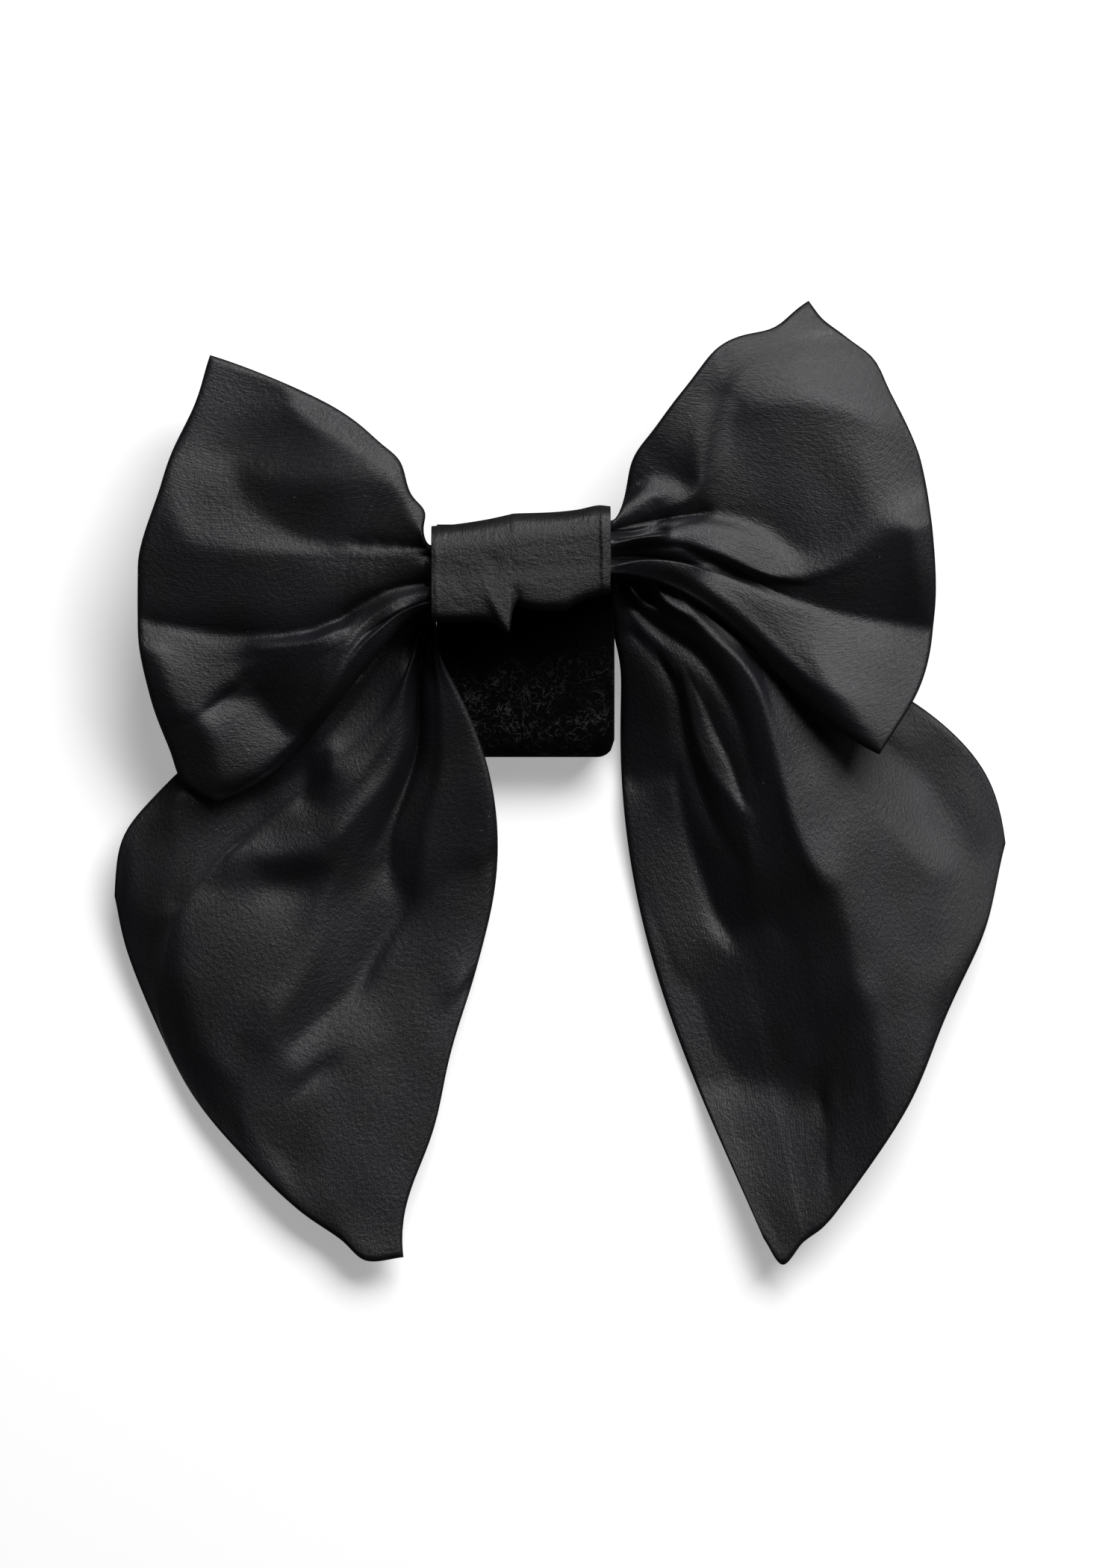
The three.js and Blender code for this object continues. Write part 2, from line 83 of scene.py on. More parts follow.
LEFT_MOUTH = wrap_mouth(-1, 0.30, -0.61)
RIGHT_MOUTH = wrap_mouth(1, WRAP_TOP_SHARE, -0.32)

# seat: where the fold enters the wrap, share of half the mouth's height. angle, reach: its outer
# end from the mouth. lead: straight run out of the wrap. bow, hook: sideways swing on the way.
# ridge: 1 on a crest and 0 in a crease. near to edge: heights along it, share of the waist's.
FOLD_COLUMNS = ("seat", "angle", "reach", "lead", "bow", "hook", "ridge", "near", "mid", "far", "edge")
LEFT_LOOP_FOLDS = [dict(zip(FOLD_COLUMNS, row)) for row in (
    (0.78, 136, 1.01, 0.07, -0.36, -0.12, 0, 0.82, 0.68, 0.54, 0.40),
    (0.64, 145, 0.96, 0.07, -0.44, -0.07, 1, 1.09, 1.05, 0.87, 0.49),
    (0.49, 161, 0.94, 0.07, 0.14, -0.03, 0, 0.94, 0.97, 0.88, 0.55),
    (0.06, 179, 0.98, 0.07, 0.03, -0.02, 1, 1.14, 1.12, 0.94, 0.58),
    (-0.34, 191, 1.00, 0.07, 0.08, 0.17, 0, 0.83, 0.73, 0.65, 0.49),
    (-0.52, 204, 1.03, 0.07, 0.06, 0.06, 1, 1.02, 0.97, 0.84, 0.56),
    (-0.65, 214, 1.06, 0.07, -0.01, 0.04, 0, 0.91, 0.79, 0.71, 0.53),
    (-0.73, 220, 1.09, 0.07, -0.12, 0.30, 1, 1.07, 1.00, 0.83, 0.55),
    (-0.82, 227, 1.06, 0.07, -0.03, 0.15, 0, 0.94, 0.80, 0.66, 0.50),
)]
RIGHT_LOOP_FOLDS = [dict(zip(FOLD_COLUMNS, row)) for row in (
    (0.78, 51, 0.98, 0.07, 0.23, 0.11, 0, 0.84, 0.72, 0.57, 0.42),
    (0.66, 44.5, 0.96, 0.07, 0.00, 0.30, 1, 1.07, 1.05, 0.89, 0.51),
    (0.48, 37, 0.99, 0.07, -0.31, 0.42, 0, 0.88, 0.91, 0.83, 0.53),
    (0.29, 15, 1.00, 0.07, -0.08, 0.20, 1, 0.92, 0.86, 0.83, 0.56),
    (0.10, 4, 1.00, 0.07, 0.18, -0.44, 1, 1.12, 1.05, 0.89, 0.56),
    (-0.27, -7, 1.02, 0.07, 0.09, -0.21, 0, 0.88, 0.83, 0.73, 0.52),
    (-0.53, -15, 1.04, 0.07, 0.27, -0.33, 1, 1.07, 0.99, 0.84, 0.54),
    (-0.68, -25, 1.06, 0.07, 0.17, -0.28, 1, 1.05, 0.98, 0.88, 0.62),
    (-0.80, -38, 1.06, 0.07, 0.22, -0.06, 0, 0.94, 0.89, 0.78, 0.59),
)]
LOOPS = dict(
    name="satin_loops", left=LEFT_LOOP_FOLDS, right=RIGHT_LOOP_FOLDS, left_length=42.0,
    right_length=45.0, low=17.25, pleat=2.45, thickness=2.4, puff=2.6, seam=1.4, rows=84)
FAN_RISE = 0.6
HEIGHT_STATIONS = (0, 0.2, 0.45, 0.7, 1)
COLUMNS_PER_FOLD = 12
WAIST_ROWS = 6
RIM_STEPS = (0.0, 0.035, 0.09, 0.17, 0.3)
LAST_EVEN_ROW = 0.965
EDGE_ROWS = (0.03, 0.017, 0.008, 0.003)
ROW_CROWDING = 1.25
CREASE_OPENS = 0.5


def fold_plan(fold, mouth, length, t):
    """x and y along one fold, in millimetres from the knot, at shares t of the way."""
    start = np.array((mouth["x"], mouth["middle"] + fold["seat"] * mouth["half"]))
    turn = math.radians(fold["angle"])
    hub = np.array((mouth["x"], mouth["middle"] + FAN_RISE))
    end = hub + fold["reach"] * length * np.array((math.cos(turn), math.sin(turn)))
    way = end - start
    aside = np.array((-way[1], way[0]))
    lead_out = start + np.array((mouth["side"] * fold["lead"] * length, 0))
    controls = (start, lead_out, start + way / 3 + aside * fold["bow"],
                start + way * 2 / 3 + aside * fold["hook"], end)
    u = 1 - t
    weights = (u**4, 4 * t * u**3, 6 * t**2 * u**2, 4 * t**3 * u, t**4)
    return sum(weight[:, None] * point for weight, point in zip(weights, controls))


def fold_height(fold, piece, t):
    level = piece["low"] + piece["pleat"] / 2
    heights = [piece["low"] + fold["ridge"] * piece["pleat"],
               *(fold[station] * level for station in ("near", "mid", "far", "edge"))]
    return smooth_through(heights, HEIGHT_STATIONS, t)


def pleat_blend(ridge, next_ridge, share, t):
    """Share of the step from one fold's height to the next. A crest is round, and a crease is
    sharp at the gathers and opens further out."""
    wave = (1 - np.cos(np.pi * share)) / 2
    if ridge and next_ridge:
        return np.full_like(t, wave)
    if ridge:
        sharp = 1 - np.cos(np.pi * share / 2)
    elif next_ridge:
        sharp = np.sin(np.pi * share / 2)
    else:
        sharp = share
    return sharp + (wave - sharp) * np.clip(t / CREASE_OPENS, 0, 1)


def crowded(count, ends):
    """Even steps from 0 to count, with a few closer ones inside the two ends."""
    steps = np.arange(1, count)
    between = steps[(steps > ends[-1]) & (steps < count - ends[-1])]
    return np.concatenate([ends, between, count - np.array(ends[::-1])])


def one_side(piece, folds, mouth, length, t):
    """Front of the cloth on one side of the wrap: rows along t, columns across the folds."""
    places = np.arange(len(folds))
    columns = crowded((len(folds) - 1) * COLUMNS_PER_FOLD, [COLUMNS_PER_FOLD * r for r in RIM_STEPS])
    at = columns / COLUMNS_PER_FOLD
    plan = np.stack([fold_plan(fold, mouth, length, t) for fold in folds])
    heights = np.stack([fold_height(fold, piece, t) for fold in folds])
    across = smooth_through(plan, places, at)
    k = np.minimum(at.astype(int), len(folds) - 2)
    blend = np.array([pleat_blend(folds[i]["ridge"], folds[i + 1]["ridge"], share, t)
                      for i, share in zip(k, at - k)])
    z = heights[k] + (heights[k + 1] - heights[k]) * blend
    return np.concatenate([across, z[..., None]], axis=2).transpose(1, 0, 2)


def gathered_front(piece):
    """The whole front from the left edge through the waist to the right one, and each row's t."""
    inner = (np.arange(1, piece["rows"] + 1) / piece["rows"]) ** ROW_CROWDING
    t = np.concatenate([inner[inner < LAST_EVEN_ROW], 1 - np.array(EDGE_ROWS), [1.0]])
    left = one_side(piece, piece["left"], LEFT_MOUTH, piece["left_length"], t)
    right = one_side(piece, piece["right"], RIGHT_MOUTH, piece["right_length"], t)
    enter = one_side(piece, piece["left"], LEFT_MOUTH, piece["left_length"], np.zeros(1))
    leave = one_side(piece, piece["right"], RIGHT_MOUTH, piece["right_length"], np.zeros(1))
    share = np.linspace(0, 1, WAIST_ROWS)[:, None, None]
    waist = enter * (1 - share) + leave * share
    front = np.concatenate([left[::-1], waist, right])
    return front, np.concatenate([t[::-1], np.zeros(WAIST_ROWS), t])


# Local folds that cross the fan, drawn over the photograph. lift: height above or below the cloth.
# left, right: half widths to the two sides of the path, millimetres. start, end: shares of the lift
# at its ends. power: 1 for a crease, 2 for a round roll. path: pixels of the photograph.
FOLD_STROKE = ("lift", "left", "right", "start", "end", "power", "path")
PIXEL = 0.105
PHOTO_MIDDLE = (749.5, 1050.0)
STEPS_PER_MARK = 6
FAR_AWAY = 1e9


def on_table(pixels):
    """Pixels of the photograph as millimetres on the table."""
    return (np.array(pixels, float) - PHOTO_MIDDLE) * (PIXEL, -PIXEL)


def eased(share):
    """A share from 0 to 1 with a soft start and a soft end."""
    return share * share * (3 - 2 * share)


def off_line(start, way, x, y):
    """Share along a straight line of the point nearest to x, y, and how far off it they are."""
    s = np.clip(((x - start[0]) * way[0] + (y - start[1]) * way[1]) / (way @ way), 0, 1)
    return s, x - start[0] - s * way[0], y - start[1] - s * way[1]


def stroke_relief(strokes, x, y):
    """Height that the local folds add at x, y."""
    relief = np.zeros_like(x)
    for row in strokes:
        fold = dict(zip(FOLD_STROKE, row))
        marks = on_table(fold["path"])
        steps = np.linspace(0, len(marks) - 1, STEPS_PER_MARK * len(marks))
        line = smooth_through(marks, np.arange(len(marks)), steps)
        best = np.full(x.shape, FAR_AWAY)
        side = np.zeros_like(x)
        along = np.zeros_like(x)
        for n in range(len(line) - 1):
            way = line[n + 1] - line[n]
            s, off_x, off_y = off_line(line[n], way, x, y)
            gap = np.hypot(off_x, off_y)
            nearer = gap < best
            best = np.where(nearer, gap, best)
            side = np.where(nearer, way[0] * off_y - way[1] * off_x, side)
            along = np.where(nearer, (n + s) / (len(line) - 1), along)
        width = np.where(side > 0, fold["left"], fold["right"])
        rise = eased(np.where(along < 0.5, along * 2, 2 - along * 2))
        low = np.where(along < 0.5, fold["start"], fold["end"])
        relief += fold["lift"] * (low + (1 - low) * rise) * np.exp(-(best / width) ** fold["power"])
    return relief


# Broad faces the cloth settles into, drawn over the photograph. right, up: how steeply the face
# rises that way. soft: width of the turn at its border, millimetres. border: pixels.
FACE = ("right", "up", "soft", "border")
SETTLE_REACH = 20.0
SETTLE_STEPS = 400
FACE_FIRMNESS = 8.0
SHORTEST_STEP = 0.02
MOUTH_GRIP = 400
MOUTH_REACH = 0.08
AT_REST = 1e-9


def share_inside(border, soft, x, y):
    """1 well inside a border, 0 well outside it."""
    corners = on_table(border)
    inside = np.zeros(x.shape, bool)
    gap = np.full(x.shape, FAR_AWAY)
    for start, end in zip(corners, np.roll(corners, -1, axis=0)):
        way = end - start
        _, off_x, off_y = off_line(start, way, x, y)
        gap = np.minimum(gap, np.hypot(off_x, off_y))
        if way[1]:
            crossed = (start[1] > y) != (end[1] > y)
            inside ^= crossed & (x < start[0] + (y - start[1]) * way[0] / way[1])
    return eased(np.clip(0.5 + np.where(inside, gap, -gap) / soft, 0, 1))


def wanted_step(front, faces, axis):
    """Rise wanted from each point of the cloth to the next one along an axis, and how firmly."""
    step = np.diff(front, axis=axis)
    firm = np.ones(step.shape[:2])
    middle = front.take(range(front.shape[axis] - 1), axis) + step / 2
    rise = step[..., 2]
    for row in faces:
        face = dict(zip(FACE, row))
        share = share_inside(
            face["border"], face["soft"], middle[..., 0] + KNOT.x, middle[..., 1] + KNOT.y)
        rise = rise * (1 - share) + share * (face["right"] * step[..., 0] + face["up"] * step[..., 1])
        steep = math.hypot(face["right"], face["up"])
        firm = firm * (1 - share) + share * (1 + FACE_FIRMNESS * steep)
    return rise, firm


def settled(front, t, faces):
    """Heights of the cloth once it has taken its faces and stayed near the fan's own shape."""
    sizes = [np.maximum(np.linalg.norm(np.diff(front[..., :2], axis=axis), axis=2), SHORTEST_STEP)
             for axis in (0, 1)]
    wide = [np.pad(size, [(0, 1), (0, 0)] if axis == 0 else [(0, 0), (0, 1)], mode="edge")
            for axis, size in enumerate(sizes)]
    pulls = [wide[1][:-1] / sizes[0], wide[0][:, :-1] / sizes[1]]
    wants, firmness = zip(*(wanted_step(front, faces, axis) for axis in (0, 1)))
    pulls = [pull * firm for pull, firm in zip(pulls, firmness)]
    grip = 1 + MOUTH_GRIP * np.clip(1 - t / MOUTH_REACH, 0, 1)
    hold = wide[0] * wide[1] / SETTLE_REACH**2 * grip[:, None]

    def spread(flows):
        out = np.zeros(front.shape[:2])
        out[:-1] -= flows[0]
        out[1:] += flows[0]
        out[:, :-1] -= flows[1]
        out[:, 1:] += flows[1]
        return out

    def weigh(z):
        return spread([pulls[0] * np.diff(z, axis=0), pulls[1] * np.diff(z, axis=1)]) + hold * z

    z = front[..., 2].copy()
    rest = spread([pulls[0] * wants[0], pulls[1] * wants[1]]) + hold * z - weigh(z)
    whole = hold.copy()
    whole[:-1] += pulls[0]
    whole[1:] += pulls[0]
    whole[:, :-1] += pulls[1]
    whole[:, 1:] += pulls[1]
    scaled = rest / whole
    way = scaled.copy()
    product = np.sum(rest * scaled)
    for _ in range(SETTLE_STEPS):
        weighed = weigh(way)
        size = product / np.sum(way * weighed)
        z += size * way
        rest = rest - size * weighed
        scaled = rest / whole
        next_product = np.sum(rest * scaled)
        if next_product < AT_REST:
            break
        way = scaled + next_product / product * way
        product = next_product
    return z


# Where the cloth's outline leaves the fan's smooth one. at: pixel of the photograph. by: how far
# it is drawn, millimetres right and up. reach: how far round it the cloth follows, millimetres.
PULL = ("at", "by", "reach")


def drawn_out(pulls, front):
    for row in pulls:
        pull = dict(zip(PULL, row))
        centre = on_table(pull["at"]) - (KNOT.x, KNOT.y)
        gap = np.linalg.norm(front[..., :2] - centre, axis=2)
        front[..., :2] += np.array(pull["by"]) * np.exp(-(gap / pull["reach"]) ** 2)[..., None]


LOOP_PULLS = [
    ((295, 485), (-0.5, 0.7), 5), ((220, 600), (-0.5, 0.2), 6), ((345, 500), (0.0, 0.4), 6),
    ((540, 620), (0.8, 0.6), 3), ((562, 690), (1.2, 0.3), 2),
    ((962, 466), (-0.8, 0.9), 5), ((1035, 440), (0.5, -0.9), 3.5), ((850, 620), (-0.8, 0.5), 4),
    ((1120, 440), (0.4, 0.4), 2), ((1160, 495), (0.5, 0.4), 3),
]
LOOP_FACES = [
    # right loop: hollow by the top rim, rolled crest beside it, and the lobe at the wrap
    (0.14, 0.40, 1.5, ((805, 683), (845, 600), (905, 515), (950, 455), (970, 480), (964, 529), (940, 548),
        (932, 582), (930, 640), (914, 652), (903, 640), (872, 640), (843, 660))),
    (-0.16, -0.26, 1.5, ((960, 450), (1008, 425), (1070, 415), (1083, 395), (1125, 420), (1185, 480),
        (1215, 535), (1190, 550), (1155, 550), (1117, 537), (1060, 532), (1010, 537), (988, 550),
        (966, 545), (966, 529))),
    (-0.50, -0.20, 1.0, ((966, 529), (990, 550), (980, 585), (968, 620), (952, 642), (940, 672), (925, 676),
        (915, 672), (935, 650), (937, 582), (946, 548))),
    (-0.10, -0.24, 1.0, ((812, 692), (848, 668), (886, 652), (915, 652), (930, 664), (925, 678), (886, 690),
        (848, 700), (819, 708))),
    # the big shaded face, and the lit ring to the right of it
    (-0.28, -0.42, 2.0, ((1172, 490), (1215, 510), (1250, 590), (1262, 680), (1262, 715), (1205, 705),
        (1165, 740), (1130, 758), (1085, 772), (1088, 752), (1120, 728), (1150, 690), (1158, 640),
        (1170, 590), (1168, 560))),
    (0.20, 0.30, 2.0, ((980, 560), (1010, 545), (1060, 538), (1117, 543), (1155, 556), (1172, 565),
        (1170, 590), (1160, 640), (1150, 685), (1122, 725), (1094, 748), (1085, 750), (1055, 736),
        (1030, 712), (990, 697), (955, 690), (925, 688), (885, 690), (930, 680), (945, 662), (955, 640),
        (970, 615))),
    # the two folds below it, each lit above and shaded below
    (-0.04, -0.12, 1.0, ((890, 708), (944, 702), (982, 714), (1021, 728), (1054, 748), (1074, 760),
        (1098, 764), (1088, 776), (1059, 779), (1030, 776), (1002, 764), (963, 744), (925, 737),
        (895, 736))),
    (0.14, 0.40, 1.5, ((985, 768), (1030, 782), (1069, 782), (1107, 774), (1141, 752), (1184, 709),
        (1208, 706), (1222, 716), (1225, 755), (1232, 790), (1243, 840), (1213, 840), (1165, 832),
        (1117, 822), (1069, 808), (1030, 795))),
    (-0.05, -0.12, 1.5, ((1220, 706), (1262, 700), (1262, 835), (1243, 832), (1232, 780), (1228, 745))),
    (0.10, 0.06, 1.5, ((920, 744), (958, 762), (1002, 782), (1050, 806), (1098, 822), (1090, 880),
        (1110, 930), (1088, 905), (1050, 872), (1011, 824), (973, 793), (940, 766))),
    (-0.16, -0.28, 2.0, ((1098, 822), (1165, 834), (1260, 845), (1260, 880), (1240, 940), (1220, 970),
        (1180, 1015), (1160, 985), (1136, 942), (1105, 915), (1090, 880))),
    (0.42, 0.46, 1.5, ((829, 769), (867, 757), (896, 762), (934, 784), (978, 817), (1026, 860), (1069, 900),
        (1112, 943), (1146, 977), (1175, 1015), (1155, 1010), (1117, 976), (1069, 928), (1026, 880),
        (992, 850), (944, 810), (896, 784), (848, 774))),
    # left loop: quiet top, lit rim, shaded crossing, soft lit swell, and the broad quiet face
    (0.00, 0.00, 3.0, ((280, 470), (345, 480), (440, 525), (420, 560), (330, 610), (262, 610), (240, 560))),
    (-0.18, -0.28, 1.5, ((380, 500), (440, 525), (505, 560), (550, 600), (566, 650), (588, 705), (566, 715),
        (552, 702), (534, 665), (520, 640), (494, 622), (462, 600), (425, 575), (392, 548))),
    (0.08, 0.26, 2.5, ((312, 635), (350, 640), (400, 650), (450, 650), (500, 640), (535, 660), (560, 720),
        (574, 738), (500, 736), (450, 732), (400, 722), (350, 690))),
    (-0.10, -0.15, 3.0, ((229, 622), (310, 618), (325, 640), (335, 680), (390, 722), (370, 730), (330, 732),
        (260, 730), (235, 700), (225, 660))),
    (0.07, 0.18, 2.5, ((344, 740), (450, 737), (574, 740), (577, 780), (500, 795), (454, 822), (400, 852),
        (350, 858), (240, 850), (175, 840), (175, 780), (200, 740), (260, 735))),
    (0.22, 0.26, 2.5, ((175, 736), (195, 600), (215, 550), (235, 600), (222, 700), (215, 760), (205, 840),
        (175, 840))),
    # two lit faces below the long crease with a shaded one between them and the wrap
    (-0.10, -0.20, 1.5, ((215, 862), (275, 862), (344, 868), (335, 880), (312, 896), (288, 922), (264, 950),
        (241, 960), (226, 920), (216, 874))),
    (0.32, 0.58, 1.5, ((344, 868), (420, 858), (454, 842), (470, 850), (445, 872), (432, 905), (422, 940),
        (412, 972), (390, 992), (368, 965), (348, 925), (325, 905))),
    (0.40, 0.44, 1.5, ((190, 870), (212, 874), (222, 920), (240, 962), (265, 957), (285, 990), (288, 1070),
        (260, 1080), (225, 1030), (195, 960))),
    (-0.01, -0.05, 2.0, ((300, 938), (335, 935), (362, 968), (395, 992), (362, 1030), (305, 1066),
        (292, 1035), (285, 989))),
    (-0.20, -0.40, 1.0, ((577, 784), (528, 794), (482, 820), (452, 855), (436, 897), (415, 966), (432, 972),
        (452, 928), (470, 882), (495, 850), (530, 822), (577, 806))),
    (-0.50, 0.60, 1.0, ((577, 808), (530, 822), (482, 868), (436, 942), (399, 990), (350, 1036),
        (365, 1055), (420, 1022), (460, 975), (510, 910), (555, 850), (580, 830))),
]
LOOP_STROKES = [
    # right loop: crests and creases at the wrap
    (0.5, 1.0, 1.6, 0.5, 0.3, 1.6, ((975, 500), (950, 570), (940, 620), (936, 650), (915, 672), (870, 686),
        (822, 700))),
    (0.7, 1.4, 1.2, 0.5, 0.2, 2.0, ((825, 695), (880, 664), (915, 658))),
    (-1.8, 1.2, 0.5, 1.0, 0.0, 1.1, ((812, 713), (878, 698), (935, 690), (960, 688))),
    (0.6, 1.4, 0.7, 0.3, 0.2, 1.5, ((1030, 774), (1090, 768), (1117, 757), (1146, 736), (1182, 702))),
    (-1.4, 0.6, 1.0, 1.0, 0.2, 1.1, ((812, 742), (900, 734), (950, 750), (1002, 777), (1050, 799))),
    (-0.9, 2.0, 2.4, 0.9, 0.4, 1.6, ((836, 775), (905, 785), (966, 825), (1030, 890), (1100, 965),
        (1160, 1008))),
    # left loop: short upper crease, long lower crease, crest beside the edge
    (-0.8, 0.6, 0.8, 1.0, 0.0, 1.1, ((577, 737), (530, 734), (480, 732), (453, 729))),
    (-1.7, 0.7, 2.2, 1.0, 0.5, 1.1, ((577, 781), (531, 789), (497, 804), (453, 832), (410, 848), (358, 853),
        (300, 852), (250, 844), (206, 838))),
    (0.7, 0.9, 1.2, 0.7, 0.0, 1.5, ((575, 796), (535, 806), (495, 832), (468, 865), (450, 905),
        (430, 950))),
    (-0.9, 0.8, 1.0, 0.2, 0.2, 1.2, ((345, 900), (300, 938), (255, 970))),
    (-1.0, 1.4, 1.2, 0.9, 0.4, 1.3, ((560, 832), (500, 890), (448, 958), (395, 1010), (323, 1055),
        (292, 1080))),
]


def arc_lengths(points, axis, start):
    """Length of cloth from the start row or column, for its weave."""
    steps = np.linalg.norm(np.diff(points, axis=axis), axis=2)
    length = np.concatenate([np.zeros_like(np.take(steps, [0], axis)), np.cumsum(steps, axis)], axis)
    return length - np.take(length, [start], axis)


FLATTEST_NORMAL = 0.1
STEEPEST_STRETCH = 1.7
STRETCH_ONSET = 0.25


def stretch_on_slopes(front, t):
    """How much taller the cloth measures where it slopes."""
    across = np.gradient(front, axis=1)
    along = np.gradient(front, axis=0)
    normal = np.cross(along, across)
    normal /= np.maximum(np.linalg.norm(normal, axis=2, keepdims=True), 1e-9)
    stretch = np.minimum(1 / np.maximum(abs(normal[..., 2]), FLATTEST_NORMAL), STEEPEST_STRETCH)
    return 1 + (stretch - 1) * np.minimum(t / STRETCH_ONSET, 1)[:, None]


def distance_to_rim(front):
    rims = (front[:1], front[-1:], front[:, :1], front[:, -1:])
    return np.minimum.reduce([np.linalg.norm(front[..., :2] - rim[..., :2], axis=2) for rim in rims])


def put_in_scene(name, data):
    made = bpy.data.objects.new(name, data)
    bpy.context.collection.objects.link(made)
    return made


def mesh_piece(name, bm):
    """The finished bmesh as an object in the scene."""
    mesh = bpy.data.meshes.new(name)
    bm.to_mesh(mesh)
    bm.free()
    return put_in_scene(name, mesh)


def two_ply_mesh(name, front, back):
    """Front and back plies of a panel, sewn together round their rims into one closed mesh."""
    rows, columns = front.shape[:2]
    bm = bmesh.new()
    bmesh.ops.create_grid(bm, x_segments=columns - 1, y_segments=rows - 1, size=1)
    row_of = bm.verts.layers.int.new("row")
    column_of = bm.verts.layers.int.new("column")
    for vert in bm.verts:
        vert[row_of] = round((vert.co.y + 1) / 2 * (rows - 1))
        vert[column_of] = round((vert.co.x + 1) / 2 * (columns - 1))
        vert.co = (Vector(front[vert[row_of], vert[column_of]]) + KNOT) * MM
    copy = bmesh.ops.duplicate(bm, geom=bm.verts[:] + bm.edges[:] + bm.faces[:])["geom"]
    for vert in (item for item in copy if isinstance(item, bmesh.types.BMVert)):
        vert.co = (Vector(back[vert[row_of], vert[column_of]]) + KNOT) * MM
    bmesh.ops.reverse_faces(bm, faces=[item for item in copy if isinstance(item, bmesh.types.BMFace)])
    bmesh.ops.bridge_loops(bm, edges=[edge for edge in bm.edges if edge.is_boundary])
    bmesh.ops.recalc_face_normals(bm, faces=bm.faces)
    along = arc_lengths(front, 0, rows // 2)
    across = arc_lengths(front, 1, columns // 2)
    weave = bm.loops.layers.uv.new("weave_mm")
    for face in bm.faces:
        face.smooth = True
        for loop in face.loops:
            place = loop.vert[row_of], loop.vert[column_of]
            loop[weave].uv = along[place], across[place]
    return mesh_piece(name, bm)


RIM_ROUND = 0.8
RIM_ROUNDNESS = 0.94
RIM_SPREAD = 4.0
RELIEF_ONSET = 0.06
RUMPLE_HEIGHT = 0.16
RUMPLE_SIZE = 7.0
RUMPLE_ONSET = 0.3
RUMPLE_SLICE = 3.1
FLOOR_GAP = 0.3
LAYER_GAP = 0.3
ROOM_SLOPE = 0.35
ROOM_ROUNDS = 12


def rumple(front, t):
    """Slight unevenness that soft cloth keeps, none where the wrap holds it."""
    lift = np.array([[noise.noise(Vector((p[0] / RUMPLE_SIZE, p[1] / RUMPLE_SIZE, RUMPLE_SLICE)))
                      for p in row] for row in front])
    return RUMPLE_HEIGHT * lift * np.minimum(t / RUMPLE_ONSET, 1)[:, None]


def room_under(above, front):
    """Height that the piece above leaves over each point of the cloth. Beside it the limit rises."""
    tree = BVHTree.FromPolygons([v.co for v in above.data.vertices],
                                [p.vertices[:] for p in above.data.polygons])
    room = np.full(front.shape[:2], np.inf)
    for row, column in np.ndindex(*room.shape):
        foot = (Vector(front[row, column]) + KNOT) * MM
        hit = tree.ray_cast(Vector((foot.x, foot.y, -1)), Vector((0, 0, 1)))[0]
        if hit:
            room[row, column] = hit.z / MM - LAYER_GAP
    down, over = (ROOM_SLOPE * np.linalg.norm(np.diff(front[..., :2], axis=axis), axis=2)
                  for axis in (0, 1))
    for _ in range(ROOM_ROUNDS):
        room[1:] = np.minimum(room[1:], room[:-1] + down)
        room[:-1] = np.minimum(room[:-1], room[1:] + down)
        room[:, 1:] = np.minimum(room[:, 1:], room[:, :-1] + over)
        room[:, :-1] = np.minimum(room[:, :-1], room[:, 1:] + over)
    return room


def sewn_panel(piece, pulls, faces, strokes, above=None):
    """Builds one two-ply panel: folds, local folds, rounded rims and the ply behind."""
    front, t = gathered_front(piece)
    drawn_out(pulls, front)
    base = front.copy()
    front[..., 2] = settled(front, t, faces)
    columns = front.shape[1]
    x, y = front[..., 0] + KNOT.x, front[..., 1] + KNOT.y
    onset = np.minimum(t / RELIEF_ONSET, 1)[:, None]
    front[..., 2] += stroke_relief(strokes, x, y) * onset + rumple(front, t)
    front[..., 2] = np.maximum(front[..., 2], FLOOR_GAP + piece["seam"])
    if above:
        front[..., 2] = np.minimum(front[..., 2], room_under(above, front))
    bulge = np.sin(np.pi * np.linspace(0, 1, columns))[None, :] * np.sin(np.pi * t)[:, None]
    thick = piece["thickness"] * stretch_on_slopes(base, t) + piece["puff"] * bulge
    rim = distance_to_rim(base)
    seam = np.clip(rim / RIM_ROUND, 0, 1)
    spread = eased(np.clip(rim / RIM_SPREAD, 0, 1))
    thick = piece["seam"] + (thick - piece["seam"]) * spread
    rounding = piece["seam"] / 2 * (1 - np.sqrt(1 - (1 - seam) ** 2)) * RIM_ROUNDNESS
    back = base.copy()
    under = np.minimum(base[..., 2] - thick, front[..., 2] - piece["seam"])
    under = under * spread + (front[..., 2] - thick) * (1 - spread)
    back[..., 2] = np.maximum(under, FLOOR_GAP) + rounding
    front[..., 2] -= rounding
    return two_ply_mesh(piece["name"], front, back)


def new_group(name, inputs, outputs):
    """An empty node group with its sockets. inputs: name, kind and default of each one."""
    group = bpy.data.node_groups.new(name, "ShaderNodeTree")
    for socket, kind, default in inputs:
        made = group.interface.new_socket(socket, in_out="INPUT", socket_type=kind)
        if default is not None:
            made.default_value = default
    for socket, kind in outputs:
        group.interface.new_socket(socket, in_out="OUTPUT", socket_type=kind)
    return group


def add_node(tree, kind, place=(0, 0), **settings):
    """A node with its settings; a setting whose name is a socket's sets or links that socket."""
    node = tree.nodes.new(kind)
    node.location = place
    for key, value in settings.items():
        if key in node.bl_rna.properties:
            setattr(node, key, value)
            continue
        socket = node.inputs[int(key[1:])] if key[0] == "i" and key[1:].isdigit() else node.inputs[key]
        if isinstance(value, bpy.types.NodeSocket):
            tree.links.new(value, socket)
        else:
            socket.default_value = value
    return node


